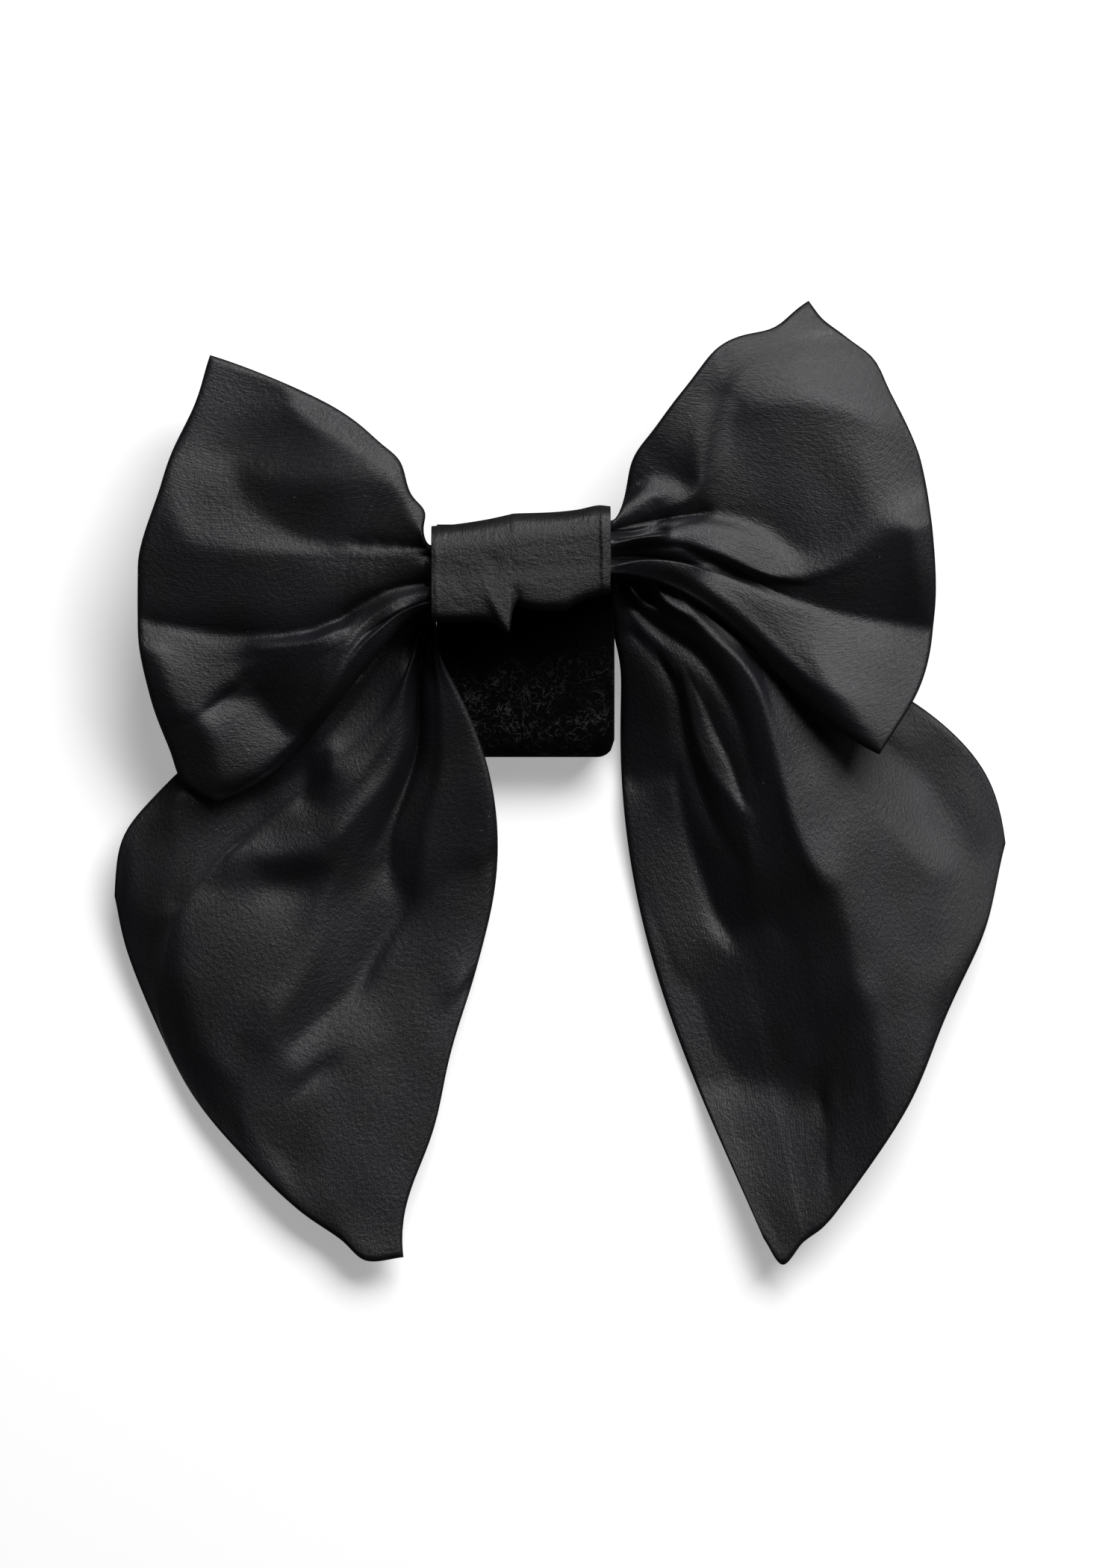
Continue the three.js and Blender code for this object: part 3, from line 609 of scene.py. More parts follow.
def remap(tree, place, value, out_of=(0.0, 1.0), into=(0.0, 1.0)):
    """A value moved from one range into another."""
    node = add_node(tree, "ShaderNodeMapRange", place, Value=value)
    for socket, number in zip(("From Min", "From Max", "To Min", "To Max"), (*out_of, *into)):
        node.inputs[socket].default_value = number
    return node.outputs["Result"]


def mixed(tree, place, factor, first, second):
    """Two colours mixed by a mask."""
    node = add_node(tree, "ShaderNodeMix", place, data_type="RGBA", Factor=factor, i6=first, i7=second)
    return node.outputs[2]


def satin_group():
    """Satin weave on a surface in millimetres: floats, soft streaks, colour drift and lint."""
    group = new_group("satin_cloth", [
        ("Vector", "NodeSocketVector", None),
        ("Dark", "NodeSocketColor", (0.010, 0.010, 0.012, 1)),
        ("Flat", "NodeSocketColor", (0.018, 0.017, 0.024, 1)),
        ("Thread", "NodeSocketFloat", 0.5),
        ("Slub", "NodeSocketFloat", 0.5),
    ], [("Color", "NodeSocketColor"), ("Height", "NodeSocketFloat"), ("Roughness", "NodeSocketFloat")])
    start = add_node(group, "NodeGroupInput", (-1000, 0))
    end = add_node(group, "NodeGroupOutput", (800, 0))
    vector = start.outputs["Vector"]
    thread = add_node(group, "ShaderNodeTexWave", (-700, 300), wave_type="BANDS", bands_direction="Y",
                      Vector=vector, Scale=0.72, Distortion=1.6, Detail=2.0)
    thread.inputs["Detail Scale"].default_value = 1.4
    stretched = add_node(group, "ShaderNodeMapping", (-850, 0), Vector=vector, Scale=(0.45, 3.2, 1))
    slub = add_node(group, "ShaderNodeTexNoise", (-650, 0), Vector=stretched.outputs[0], Scale=1.0,
                    Detail=4.0, Roughness=0.6)
    drift = add_node(group, "ShaderNodeTexNoise", (-650, -300), Vector=vector, Scale=0.07, Detail=3.0)
    fine = add_node(group, "ShaderNodeTexNoise", (-650, -550), Vector=vector, Scale=1.5, Detail=4.0,
                    Roughness=0.75)
    threads = add_node(group, "ShaderNodeMath", (-400, 300), operation="MULTIPLY",
                       i0=thread.outputs["Fac"], i1=start.outputs["Thread"])
    slubs = add_node(group, "ShaderNodeMath", (-400, 100), operation="MULTIPLY",
                     i0=slub.outputs["Fac"], i1=start.outputs["Slub"])
    both = add_node(group, "ShaderNodeMath", (-200, 200), operation="ADD",
                    i0=threads.outputs[0], i1=slubs.outputs[0])
    grain = add_node(group, "ShaderNodeMath", (0, 200), operation="MULTIPLY_ADD",
                     i0=fine.outputs["Fac"], i1=3.0, i2=both.outputs[0])
    shade = remap(group, (-400, -300), drift.outputs["Fac"], out_of=(0.35, 0.65))
    cloth = mixed(group, (-200, -200), shade, start.outputs["Dark"], start.outputs["Flat"])
    specks = add_node(group, "ShaderNodeTexVoronoi", (-650, -800), Vector=vector, Scale=0.42)
    near = add_node(group, "ShaderNodeMath", (-400, -700), operation="LESS_THAN",
                    i0=specks.outputs["Distance"], i1=0.045)
    chosen = add_node(group, "ShaderNodeSeparateColor", (-400, -850), Color=specks.outputs["Color"])
    few = add_node(group, "ShaderNodeMath", (-200, -850), operation="GREATER_THAN",
                   i0=chosen.outputs[0], i1=0.80)
    lint = add_node(group, "ShaderNodeMath", (0, -750), operation="MULTIPLY",
                    i0=near.outputs[0], i1=few.outputs[0])
    dusty = mixed(group, (250, -200), lint.outputs[0], cloth, (0.10, 0.10, 0.11, 1))
    rough = remap(group, (250, 0), slub.outputs["Fac"], into=(0.40, 0.52))
    group.links.new(dusty, end.inputs["Color"])
    group.links.new(grain.outputs[0], end.inputs["Height"])
    group.links.new(rough, end.inputs["Roughness"])
    return group


SATIN_CLOTH = satin_group()


def satin_material(name, dark, flat, bump, thread=0.12, slub=0.5):
    material = bpy.data.materials.new(name)
    material.use_nodes = True
    tree = material.node_tree
    shader = tree.nodes["Principled BSDF"]
    shader.inputs["Specular IOR Level"].default_value = 0.5
    uv = add_node(tree, "ShaderNodeUVMap", (-900, 0), uv_map="weave_mm")
    cloth = add_node(tree, "ShaderNodeGroup", (-600, 0), node_tree=SATIN_CLOTH)
    tree.links.new(uv.outputs["UV"], cloth.inputs["Vector"])
    cloth.inputs["Dark"].default_value = (*dark, 1)
    cloth.inputs["Flat"].default_value = (*flat, 1)
    cloth.inputs["Thread"].default_value = thread
    cloth.inputs["Slub"].default_value = slub
    relief = add_node(tree, "ShaderNodeBump", (-300, -200), Strength=bump, Distance=0.0001,
                      Height=cloth.outputs["Height"])
    tree.links.new(cloth.outputs["Color"], shader.inputs["Base Color"])
    tree.links.new(cloth.outputs["Roughness"], shader.inputs["Roughness"])
    tree.links.new(relief.outputs["Normal"], shader.inputs["Normal"])
    return material


satin = satin_material("black_satin", (0.0028, 0.0028, 0.0032), (0.0052, 0.0046, 0.0078), 0.55)
loops = sewn_panel(LOOPS, LOOP_PULLS, LOOP_FACES, LOOP_STROKES)
loops.data.materials.append(satin)
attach(loops, "root")
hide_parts("bow_panel")

# Tails
# A second panel of the same satin under the loops, its two plies pressed flat. It is gathered at
# the same waist, and its two pointed ends hang down and apart.

LEFT_TAIL_FOLDS = [dict(zip(FOLD_COLUMNS, row)) for row in (
    (0.19, -134.5, 0.735, 0.03, 0.11, -0.26, 0, 0.60, 0.36, 0.28, 0.20),
    (0.08, -130, 0.78, 0.03, 0.27, -0.25, 1, 0.60, 0.40, 0.48, 0.27),
    (-0.04, -121, 0.865, 0.05, 0.34, -0.36, 0, 0.71, 0.50, 0.31, 0.21),
    (-0.15, -114, 0.94, 0.06, 0.34, -0.50, 1, 0.98, 0.94, 0.75, 0.33),
    (-0.26, -107, 1.005, 0.07, 0.27, -0.23, 0, 0.62, 0.43, 0.47, 0.30),
    (-0.37, -102, 1.055, 0.08, 0.25, -0.13, 1, 0.94, 0.76, 0.44, 0.26),
    (-0.48, -98, 1.09, 0.10, 0.32, -0.09, 1, 1.02, 0.92, 0.58, 0.22),
    (-0.59, -95.5, 1.12, 0.12, 0.38, -0.03, 1, 1.05, 0.99, 0.62, 0.22),
    (-0.70, -92.5, 1.11, 0.15, 0.45, -0.07, 0, 0.98, 0.85, 0.40, 0.19),
)]
RIGHT_TAIL_FOLDS = [dict(zip(FOLD_COLUMNS, row)) for row in (
    (0.14, -37, 0.75, 0.03, -0.09, 0.32, 0, 0.62, 0.40, 0.30, 0.21),
    (0.03, -45, 0.805, 0.03, -0.04, 0.30, 1, 0.60, 0.44, 0.48, 0.27),
    (-0.08, -54.5, 0.875, 0.03, 0.12, 0.23, 1, 0.84, 0.68, 0.74, 0.41),
    (-0.19, -62, 0.96, 0.04, 0.18, 0.10, 1, 0.90, 0.84, 0.80, 0.44),
    (-0.30, -70, 1.05, 0.05, 0.12, 0.10, 0, 0.64, 0.50, 0.57, 0.39),
    (-0.41, -72.5, 1.08, 0.06, 0.06, 0.11, 1, 0.87, 0.69, 0.40, 0.31),
    (-0.52, -74.5, 1.095, 0.07, 0.02, 0.03, 0, 0.60, 0.34, 0.28, 0.25),
    (-0.63, -76.5, 1.12, 0.08, -0.07, -0.03, 1, 0.86, 0.56, 0.33, 0.21),
    (-0.74, -77.5, 1.075, 0.08, -0.17, -0.06, 0, 0.84, 0.52, 0.29, 0.19),
)]
TAILS = dict(
    name="satin_tails", left=LEFT_TAIL_FOLDS, right=RIGHT_TAIL_FOLDS, left_length=87.0,
    right_length=93.0, low=13.3, pleat=1.05, thickness=2.0, puff=0.0, seam=1.4, rows=110)
TAIL_PULLS = [
    ((590, 1250), (-0.5, 0.0), 6), ((570, 1520), (2.0, -0.3), 10), ((165, 1120), (-1.0, 0.3), 6),
    ((1320, 1050), (0.5, 0.3), 8), ((1290, 1250), (0.4, 0.0), 6), ((832, 830), (-1.7, 0.0), 5),
    ((575, 850), (0.9, 0.0), 3), ((824, 790), (-0.9, 0.0), 2.5), ((575, 822), (1.3, 0.0), 2.5),
]
TAIL_FACES = [
    # left tail: shaded strip under the loop, lit crest, black valley beside it, hook at its end
    (0.04, 0.12, 1.5, ((560, 800), (572, 812), (552, 836), (520, 886), (494, 926), (470, 968), (448, 1000),
        (445, 1040), (425, 1078), (395, 1100), (345, 1122), (318, 1130), (285, 1090), (320, 1040),
        (380, 990), (440, 930), (500, 860))),
    (-0.45, 0.50, 1.2, ((560, 790), (575, 815), (545, 850), (512, 892), (480, 938), (440, 990), (405, 1030),
        (355, 1062), (300, 1092), (280, 1075), (340, 1020), (400, 960), (450, 905), (500, 840))),
    (0.42, 0.40, 1.0, ((412, 1015), (446, 1000), (446, 1040), (432, 1072), (408, 1076), (410, 1045))),
    (-0.04, -0.10, 1.5, ((571, 818), (552, 838), (520, 888), (494, 928), (468, 970), (448, 1000),
        (446, 1040), (432, 1075), (405, 1102), (360, 1120), (318, 1145), (290, 1180), (262, 1215),
        (300, 1225), (340, 1200), (345, 1155), (395, 1137), (440, 1125), (470, 1092), (500, 1062),
        (528, 1030), (541, 985), (545, 930), (549, 880), (556, 845))),
    (-0.75, 0.60, 1.0, ((570, 835), (556, 860), (546, 900), (541, 950), (536, 1005), (515, 1050),
        (480, 1088), (452, 1120), (452, 1150), (490, 1178), (516, 1168), (524, 1110), (545, 1060),
        (560, 1015), (564, 950), (562, 900), (572, 850))),
    (-0.50, 0.42, 2.0, ((450, 1148), (500, 1165), (520, 1162), (530, 1205), (505, 1250), (470, 1250),
        (430, 1230), (440, 1180))),
    (0.00, 0.75, 1.2, ((342, 1152), (380, 1148), (430, 1146), (450, 1160), (410, 1180), (355, 1182))),
    # its side lobe, the shaded west edge and the lit face beside it
    (0.00, 0.02, 2.5, ((178, 1105), (215, 1090), (240, 1110), (235, 1170), (222, 1215), (200, 1235),
        (178, 1215), (168, 1160))),
    (-0.05, 0.38, 2.0, ((245, 1060), (330, 1082), (330, 1115), (288, 1170), (262, 1215), (240, 1235),
        (228, 1235), (238, 1160), (243, 1110), (230, 1080))),
    (0.45, 0.20, 1.5, ((135, 1110), (165, 1100), (165, 1200), (180, 1235), (175, 1250), (140, 1230),
        (130, 1180))),
    (0.52, 0.24, 1.5, ((150, 1235), (205, 1230), (245, 1218), (238, 1290), (245, 1330), (252, 1380),
        (268, 1430), (290, 1470), (325, 1500), (345, 1530), (380, 1590), (340, 1580), (285, 1520),
        (235, 1460), (190, 1390), (160, 1330))),
    (-0.10, -0.14, 2.0, ((268, 1190), (310, 1190), (345, 1195), (400, 1195), (420, 1215), (420, 1260),
        (400, 1300), (375, 1335), (340, 1345), (325, 1380), (330, 1420), (310, 1440), (280, 1425),
        (262, 1380), (252, 1340), (241, 1290), (243, 1250), (255, 1220))),
    # the long hollow down its middle and the crest across to the east edge
    (0.60, -0.10, 1.0, ((385, 1402), (410, 1384), (440, 1360), (480, 1327), (495, 1287), (520, 1252),
        (545, 1214), (562, 1214), (540, 1255), (516, 1292), (496, 1332), (456, 1368), (426, 1392),
        (395, 1416))),
    (-0.42, 0.30, 2.5, ((420, 1215), (470, 1190), (520, 1180), (540, 1205), (545, 1212), (520, 1250),
        (495, 1285), (480, 1325), (440, 1355), (410, 1380), (395, 1400), (375, 1400), (360, 1370),
        (385, 1340), (410, 1300), (425, 1260))),
    (0.10, 0.26, 2.0, ((330, 1385), (385, 1400), (405, 1440), (385, 1490), (380, 1560), (350, 1545),
        (325, 1500), (312, 1450))),
    (0.45, 0.10, 1.0, ((562, 880), (576, 880), (584, 940), (584, 1010), (572, 1070), (552, 1120),
        (540, 1180), (520, 1175), (528, 1110), (548, 1060), (562, 1015), (566, 950))),
    (-0.05, 0.00, 2.0, ((590, 880), (660, 960), (660, 1140), (600, 1180), (560, 1185), (572, 1100),
        (588, 1040), (590, 960))),
    (-0.09, -0.14, 2.0, ((590, 1185), (660, 1150), (655, 1290), (600, 1330), (520, 1395), (470, 1410),
        (430, 1420), (385, 1435), (395, 1412), (425, 1385), (455, 1360), (490, 1325), (515, 1285),
        (535, 1245), (560, 1205))),
    (-0.03, -0.06, 3.0, ((600, 1340), (660, 1290), (645, 1400), (620, 1500), (590, 1600), (560, 1700),
        (480, 1700), (430, 1600), (415, 1500), (440, 1440), (520, 1405))),
    # right tail: shaded flank of the long crest, thin crest under it, and the black valleys
    (0.58, 0.42, 1.2, ((820, 800), (870, 812), (900, 824), (950, 855), (985, 880), (1005, 905), (1020, 935),
        (1028, 970), (1032, 1010), (1042, 1060), (1040, 1085), (998, 1085), (985, 1050), (972, 1015),
        (952, 975), (935, 935), (918, 905), (895, 885), (866, 858), (840, 835))),
    (0.10, 0.10, 1.0, ((835, 798), (852, 815), (875, 845), (898, 872), (920, 895), (932, 930), (948, 970),
        (965, 1010), (980, 1040), (982, 1065), (968, 1055), (950, 1035), (935, 1005), (922, 960),
        (916, 925), (900, 898), (878, 875), (853, 838))),
    (0.62, 0.46, 1.2, ((912, 898), (922, 960), (930, 1005), (950, 1040), (985, 1078), (1010, 1090),
        (1000, 1120), (1010, 1150), (1030, 1180), (1035, 1215), (1000, 1240), (985, 1265), (955, 1220),
        (930, 1150), (915, 1110), (908, 1060), (902, 1020), (898, 980), (895, 940), (893, 905))),
    (0.40, 0.34, 1.5, ((1010, 1080), (1042, 1080), (1058, 1120), (1078, 1160), (1088, 1200), (1092, 1240),
        (1060, 1260), (1030, 1240), (1005, 1215), (1010, 1175), (1005, 1120))),
    (0.30, 0.24, 2.0, ((1055, 1250), (1100, 1200), (1120, 1250), (1138, 1320), (1145, 1400), (1140, 1450),
        (1100, 1470), (1060, 1440), (1030, 1400), (1010, 1330), (1000, 1270))),
    (0.52, 0.36, 1.5, ((815, 815), (850, 835), (875, 870), (895, 900), (900, 950), (905, 1000), (905, 1035),
        (885, 1040), (845, 1045), (825, 1000), (822, 900))),
    (0.08, 0.13, 2.5, ((850, 1065), (895, 1050), (912, 1090), (928, 1150), (945, 1200), (955, 1280),
        (920, 1290), (890, 1240), (860, 1150))),
    (0.20, 0.22, 2.5, ((955, 1260), (1010, 1280), (1030, 1400), (1060, 1450), (1000, 1455), (950, 1430),
        (920, 1320))),
    # its lit side, plateau and lobe, and the lower end
    (-0.24, -0.38, 1.5, ((990, 838), (1030, 872), (1075, 918), (1125, 975), (1165, 1020), (1210, 1065),
        (1250, 1110), (1285, 1165), (1250, 1180), (1210, 1135), (1170, 1092), (1130, 1055), (1090, 1000),
        (1050, 945), (1010, 890))),
    (-0.18, -0.26, 1.5, ((1020, 900), (1060, 955), (1100, 1010), (1140, 1060), (1150, 1090), (1130, 1130),
        (1130, 1180), (1100, 1178), (1080, 1150), (1060, 1100), (1048, 1050), (1040, 1000), (1030, 950))),
    (-0.10, -0.16, 2.0, ((1150, 1070), (1195, 1120), (1250, 1175), (1345, 1130), (1345, 1200), (1300, 1270),
        (1250, 1330), (1235, 1420), (1205, 1480), (1180, 1500), (1172, 1340), (1145, 1325), (1140, 1250),
        (1125, 1180), (1130, 1120))),
    (0.05, 0.06, 2.5, ((1215, 955), (1260, 955), (1295, 1010), (1300, 1060), (1305, 1100), (1285, 1095),
        (1262, 1070), (1235, 1030), (1210, 1000))),
    (0.22, 0.12, 2.0, ((1145, 1450), (1150, 1400), (1170, 1450), (1160, 1510), (1135, 1550), (1115, 1540),
        (1128, 1500))),
    (0.00, -0.02, 2.5, ((970, 1470), (1020, 1462), (1070, 1475), (1120, 1490), (1125, 1530), (1095, 1570),
        (1070, 1610), (1020, 1610), (1000, 1560), (975, 1500))),
    (-0.07, -0.12, 2.0, ((1165, 1500), (1220, 1460), (1200, 1520), (1160, 1590), (1100, 1650), (1050, 1700),
        (1030, 1680), (1075, 1610), (1120, 1560))),
]
TAIL_STROKES = [
    # left tail: pressed down by the loop's tip, the lit crest and the black crease beside it
    (-3.2, 12.0, 12.0, 0.6, 0.3, 2.0, ((230, 1040), (290, 1060), (350, 1035), (430, 970))),
    (0.6, 1.0, 1.6, 0.6, 0.3, 1.6, ((562, 850), (540, 925), (515, 990), (460, 1060), (395, 1105),
        (340, 1130))),
    (-1.5, 0.8, 1.3, 0.9, 0.3, 1.5, ((572, 845), (560, 900), (560, 975), (548, 1035), (525, 1085),
        (505, 1130))),
    (-0.8, 0.8, 1.0, 0.0, 0.0, 1.3, ((467, 1408), (425, 1440), (378, 1482))),
    # right tail: long crest, the black valley under it and a thin crest in that
    (0.8, 1.2, 1.6, 0.6, 0.2, 1.5, ((822, 786), (914, 813), (1007, 857), (1069, 936), (1138, 1025),
        (1194, 1078), (1252, 1152))),
    (-1.2, 1.2, 1.2, 0.9, 0.2, 1.5, ((830, 800), (880, 840), (940, 885), (985, 960), (1010, 1050))),
    (0.3, 0.8, 0.9, 0.6, 0.1, 1.5, ((830, 796), (883, 860), (927, 905), (945, 979), (983, 1055))),
    (-1.2, 1.2, 1.2, 0.7, 0.2, 1.5, ((850, 850), (900, 910), (920, 1000), (950, 1090), (990, 1160))),
]

tails = sewn_panel(TAILS, TAIL_PULLS, TAIL_FACES, TAIL_STROKES, above=loops)
tails.data.materials.append(satin)
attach(tails, "root")
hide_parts("tail_panel")

# Centre wrap
# A strip of the satin wound once round both waists and sewn at the back. Its lower edge is
# gathered unevenly, with one small tuck, and its right end shows a folded hem.

WRAP_SECTIONS = ((0.00, 0.32, -0.60), (0.14, 0.34, -0.61), (0.31, 0.385, -0.60), (0.43, 0.43, -0.61),
                 (0.455, 0.44, -0.44), (0.52, 0.445, -0.47), (0.62, 0.45, -0.50), (0.72, 0.46, -0.50),
                 (0.82, 0.48, -0.42), (0.93, 0.52, -0.36), (1.00, 0.51, -0.33))
WRAP_AROUND = 150
WRAP_ALONG = 130
SQUARENESS = 3.4
TUCK_AT = -1.5
TUCK_DROP = 3.4
TUCK_LEFT = 1.9
TUCK_RIGHT = 0.5
TUCK_SHAPE = 1.6
# Crumples on the wrap's face, in the same columns as the local folds of the panels.
WRAP_STROKES = [
    (0.50, 0.9, 0.7, 0.2, 1.0, 2.0, ((648, 785), (660, 808), (671, 832), (682, 858))),
    (-0.45, 0.7, 0.7, 0.0, 0.8, 1.5, ((682, 778), (690, 800), (695, 822))),
    (0.22, 1.3, 1.3, 0.8, 0.8, 2.0, ((584, 742), (650, 732), (730, 722), (808, 716))),
    (-0.22, 1.0, 1.6, 0.8, 0.8, 2.0, ((590, 772), (650, 768), (740, 764), (806, 756))),
    (0.34, 1.0, 1.0, 0.8, 0.8, 2.0, ((690, 810), (730, 812), (765, 804), (808, 790))),
    (0.26, 0.9, 0.9, 0.8, 0.6, 2.0, ((588, 829), (640, 826))),
    (-0.20, 1.0, 1.0, 0.3, 0.3, 2.0, ((612, 775), (625, 805))),
    (-0.25, 0.9, 0.9, 0.5, 0.5, 2.0, ((655, 752), (672, 762))),
    (0.10, 0.3, 0.5, 0.2, 0.2, 1.5, ((600, 748), (630, 756), (660, 750))),
    (0.12, 0.4, 0.3, 0.2, 0.2, 1.5, ((675, 738), (705, 746), (735, 736))),
    (0.10, 0.4, 0.3, 0.2, 0.2, 1.5, ((740, 752), (765, 742), (795, 744))),
    (-0.12, 0.4, 0.3, 0.2, 0.2, 1.5, ((700, 775), (740, 785), (775, 776))),
    (-0.12, 0.4, 0.4, 0.2, 0.2, 1.5, ((598, 790), (612, 812), (630, 818))),
    (0.30, 0.45, 0.25, 1.0, 1.0, 1.5, ((805, 685), (806, 740), (807, 795))),
    (0.20, 0.30, 0.45, 1.0, 1.0, 1.5, ((585, 720), (586, 770), (587, 828))),
]
CRUMPLE_ROOM = 0.5


def tube_mesh(name, around, along, place):
    """A tube from a grid: place(turn, share) gives each point, and the long edges are joined."""
    bm = bmesh.new()
    bmesh.ops.create_grid(bm, x_segments=around, y_segments=along, size=1)
    weave = bm.loops.layers.uv.new("weave_mm")
    spot = {vert: ((vert.co.x + 1) / 2, (vert.co.y + 1) / 2) for vert in bm.verts}
    for face in bm.faces:
        face.smooth = True
        for loop in face.loops:
            loop[weave].uv = place(*spot[loop.vert])[1]
    for vert in bm.verts:
        vert.co = (Vector(place(*spot[vert])[0]) + KNOT) * MM
    bmesh.ops.remove_doubles(bm, verts=bm.verts, dist=1e-6)
    bmesh.ops.recalc_face_normals(bm, faces=bm.faces)
    return mesh_piece(name, bm)


def give_wall(piece, thickness):
    wall = piece.modifiers.new("wall", "SOLIDIFY")
    wall.thickness = thickness * MM
    wall.offset = -1


def wrap_place(turn, share):
    """Point on the wrap: turn once round it, share from its left to its right end."""
    stations, tops, bottoms = zip(*WRAP_SECTIONS)
    top = float(smooth_through(tops, stations, np.array([share]))[0]) * WRAP_HEIGHT
    bottom = float(smooth_through(bottoms, stations, np.array([share]))[0]) * WRAP_HEIGHT
    x = (share - 0.5) * WRAP_WIDTH
    angle = 2 * math.pi * turn
    cos, sin = math.cos(angle), math.sin(angle)
    y = (top + bottom) / 2 + (top - bottom) / 2 * math.copysign(abs(cos) ** (2 / SQUARENESS), cos)
    z = ((wrap_low.z + wrap_high.z) / 2
         + (wrap_high.z - wrap_low.z) / 2 * math.copysign(abs(sin) ** (2 / SQUARENESS), sin))
    low_front = max(0.0, -cos) * max(0.0, sin)
    tuck_width = TUCK_LEFT if x < TUCK_AT else TUCK_RIGHT
    y -= TUCK_DROP * math.exp(-(abs(x - TUCK_AT) / tuck_width) ** TUCK_SHAPE) * low_front**0.5
    return (x, y, z), (x, y + z)


wrap = tube_mesh("satin_wrap", WRAP_AROUND, WRAP_ALONG, wrap_place)
spots = np.array([vert.co for vert in wrap.data.vertices]) / MM
level = (wrap_low.z + wrap_high.z) / 2
on_face = np.clip((spots[:, 2] - level) / (wrap_high.z - level), 0, 1) ** 2
spots[:, 2] += (stroke_relief(WRAP_STROKES, spots[:, 0], spots[:, 1]) - CRUMPLE_ROOM) * on_face
for vert, spot in zip(wrap.data.vertices, spots):
    vert.co = spot * MM
give_wall(wrap, WRAP_WALL)
# the wrap's satin is a lighter copy of the bow's satin: painted light for the light its face catches
wrap_satin = satin_material("wrap_satin", (0.0045, 0.0045, 0.005), (0.009, 0.009, 0.010), 1.0, thread=0.03)
wrap.data.materials.append(wrap_satin)
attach(wrap, "root")
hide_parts("centre_wrap")

# Collar strap
# A flat ring of black loop tape behind the knot, with a dense fuzzy pile. The collar runs
# through it.

TAPE_WALL = 1.6
strap_low, strap_high = (Vector(corner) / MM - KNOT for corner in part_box("collar_strap"))
STRAP_CORNER = 2.4
CORNER_REACH = 12
STRAP_AROUND = 150
STRAP_ALONG = 50


def strap_place(turn, share):
    fold = (strap_high.z - strap_low.z) / 2
    run = strap_high.y - strap_low.y - 2 * fold
    x = strap_low.x + share * (strap_high.x - strap_low.x)
    inset = max(0.0, STRAP_CORNER - min(x - strap_low.x, strap_high.x - x))
    pull = STRAP_CORNER - math.sqrt(max(STRAP_CORNER**2 - inset**2, 0))
    half_turn = math.pi * fold
    way = (turn % 1.0) * 2 * (run + half_turn)
    middle = (strap_low.z + strap_high.z) / 2
    if way < run:
        y, z = strap_low.y + fold + way, middle + fold
    elif way < run + half_turn:
        angle = (way - run) / fold
        y, z = strap_high.y - fold + fold * math.sin(angle), middle + fold * math.cos(angle)
    elif way < 2 * run + half_turn:
        y, z = strap_high.y - fold - (way - run - half_turn), middle - fold
    else:
        angle = (way - 2 * run - half_turn) / fold
        y, z = strap_low.y + fold - fold * math.sin(angle), middle - fold * math.cos(angle)
    y += pull * max(0.0, 1 - (y - strap_low.y) / CORNER_REACH)
    return (x, y, z), (x, way)


strap = tube_mesh("loop_tape_strap", STRAP_AROUND, STRAP_ALONG, strap_place)
give_wall(strap, TAPE_WALL)


def tape_material(name, color, lift):
    """Knitted tape with a matt, uneven pile."""
    material = bpy.data.materials.new(name)
    material.use_nodes = True
    tree = material.node_tree
    shader = tree.nodes["Principled BSDF"]
    shader.inputs["Specular IOR Level"].default_value = 0.03
    shader.inputs["Sheen Weight"].default_value = 0.01
    shader.inputs["Sheen Roughness"].default_value = 0.5
    place = add_node(tree, "ShaderNodeTexCoord", (-1000, 0))
    pile = add_node(tree, "ShaderNodeTexNoise", (-700, 100), Vector=place.outputs["Object"],
                    Scale=1800.0, Detail=4.0, Roughness=0.7)
    clump = add_node(tree, "ShaderNodeTexNoise", (-700, -200), Vector=place.outputs["Object"],
                     Scale=260.0, Detail=3.0)
    dark, pale = ((*(channel * part for channel in color), 1) for part in (0.4, 1.8))
    tone = mixed(tree, (-350, 100), clump.outputs["Fac"], dark, pale)
    rough = remap(tree, (-350, -150), pile.outputs["Fac"], into=(0.8, 1.0))
    relief = add_node(tree, "ShaderNodeBump", (-350, -350), Strength=1.0, Distance=lift,
                      Height=pile.outputs["Fac"])
    # pale fibres: thin wandering lines where a coarse noise crosses its middle. They fade out upwards and
    # are gone near the knot: painted shade from the knot that stands over the strap's top
    curl = add_node(tree, "ShaderNodeTexNoise", (-700, 400), Vector=place.outputs["Object"],
                    Scale=760.0, Detail=2.0, Distortion=1.0)
    off = add_node(tree, "ShaderNodeMath", (-500, 400), operation="SUBTRACT",
                   i0=curl.outputs["Fac"], i1=0.5)
    size = add_node(tree, "ShaderNodeMath", (-350, 400), operation="ABSOLUTE", i0=off.outputs[0])
    thin = remap(tree, (-200, 400), size.outputs[0], out_of=(0.0, 0.035), into=(1.0, 0.0))
    patch = remap(tree, (-350, 600), clump.outputs["Fac"], out_of=(0.38, 0.58))
    split = add_node(tree, "ShaderNodeSeparateXYZ", (-700, 700), Vector=place.outputs["Object"])
    # all the fibres from 12 mm down and none from 20 mm up: painted shade under the knot
    low = remap(tree, (-350, 800), split.outputs["Y"], out_of=(0.020, 0.012))
    some = add_node(tree, "ShaderNodeMath", (0, 600), operation="MULTIPLY", i0=patch, i1=low)
    fibre_with_painted_shade = add_node(tree, "ShaderNodeMath", (150, 500), operation="MULTIPLY", i0=some.outputs[0], i1=thin)
    fuzz_with_painted_shade = mixed(tree, (0, 100), fibre_with_painted_shade.outputs[0], tone, (0.030, 0.030, 0.029, 1))
    tree.links.new(fuzz_with_painted_shade, shader.inputs["Base Color"])
    tree.links.new(rough, shader.inputs["Roughness"])
    tree.links.new(relief.outputs["Normal"], shader.inputs["Normal"])
    return material


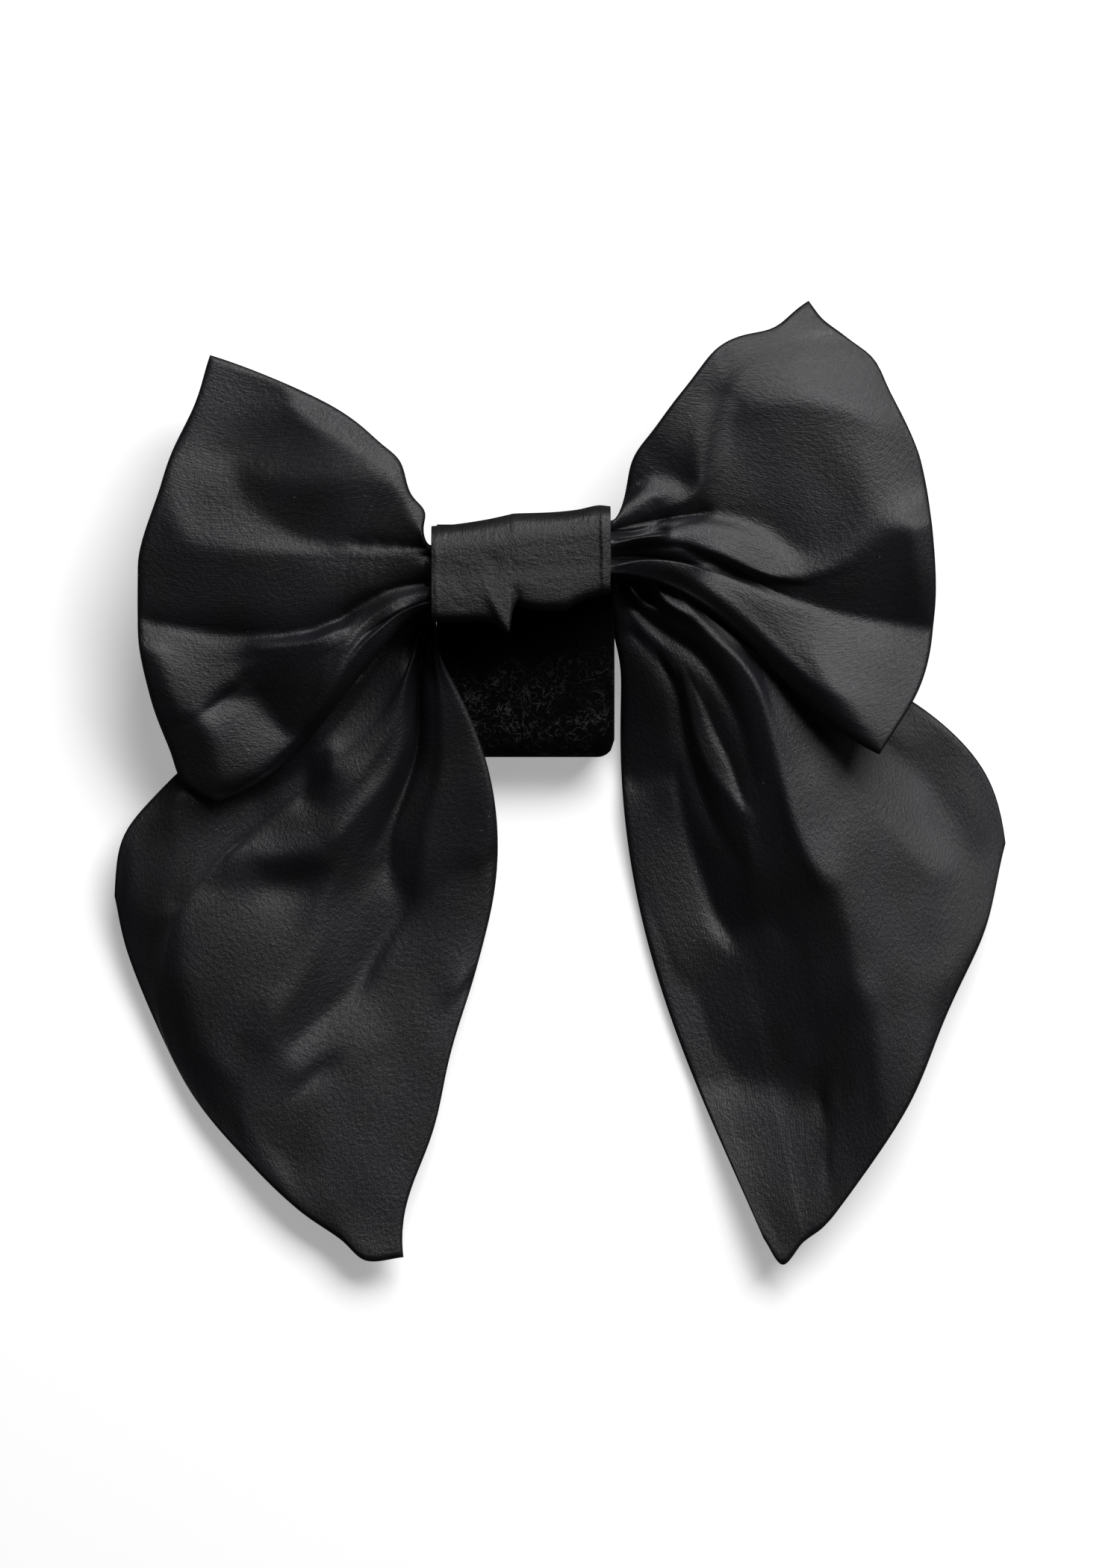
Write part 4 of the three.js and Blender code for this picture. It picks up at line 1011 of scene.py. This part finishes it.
loop_tape = tape_material("loop_tape", (0.0010, 0.0010, 0.0011), 0.0006)
strap.data.materials.append(loop_tape)
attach(strap, "root")
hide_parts("collar_strap")

# Hook tab
# The hooked end of the tape, lapped flat over the strap's back and pressed onto its pile.

hook_tape = tape_material("hook_tape", (0.010, 0.010, 0.011), 0.0004)
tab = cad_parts["hook_tab"]
tab.data.materials.clear()
tab.data.materials.append(hook_tape)

# Table, light and camera
# A plain pale table under one large soft light behind the bow's loops and a weak one to the right.
# The camera looks straight down.

bm = bmesh.new()
bmesh.ops.create_grid(bm, x_segments=1, y_segments=1, size=2)
table = mesh_piece("table", bm)
paper = bpy.data.materials.new("pale_paper")
paper.use_nodes = True
paper_shader = paper.node_tree.nodes["Principled BSDF"]
paper_shader.inputs["Base Color"].default_value = (0.85, 0.85, 0.85, 1)
paper_shader.inputs["Roughness"].default_value = 0.9
paper_shader.inputs["Emission Color"].default_value = (1, 1, 1, 1)
paper_shader.inputs["Emission Strength"].default_value = 0.35
table.data.materials.append(paper)
table.visible_glossy = False


def softbox(name, place, size, energy):
    lamp = bpy.data.lights.new(name, "AREA")
    lamp.shape = "RECTANGLE"
    lamp.size, lamp.size_y = size
    lamp.energy = energy
    holder = put_in_scene(name, lamp)
    holder.location = place
    aim = Vector((0, 0, 0.01)) - Vector(place)
    holder.rotation_mode = "QUATERNION"
    holder.rotation_quaternion = aim.to_track_quat("-Z", "Y")


softbox("window", (0.37, 0.70, 0.75), (0.9, 0.5), 17)
softbox("side", (0.9, 0.1, 0.5), (0.4, 0.6), 0.4)
world = bpy.data.worlds.new("studio")
world.use_nodes = True
world.node_tree.nodes["Background"].inputs["Color"].default_value = (1, 1, 1, 1)
world.node_tree.nodes["Background"].inputs["Strength"].default_value = 0.03
bpy.context.scene.world = world
bpy.context.scene.view_settings.view_transform = "Standard"

CAMERA_HEIGHT = 1.2
PHOTO_LONG_SIDE = 0.2205
FOCUS_HEIGHT = 0.008
SENSOR = 36
camera = bpy.data.cameras.new("camera")
camera.sensor_width = SENSOR
camera.lens = SENSOR * (CAMERA_HEIGHT - FOCUS_HEIGHT) / PHOTO_LONG_SIDE
camera.clip_start = 0.01
stand = put_in_scene("camera", camera)
stand.location = (0, 0, CAMERA_HEIGHT)
bpy.context.scene.camera = stand
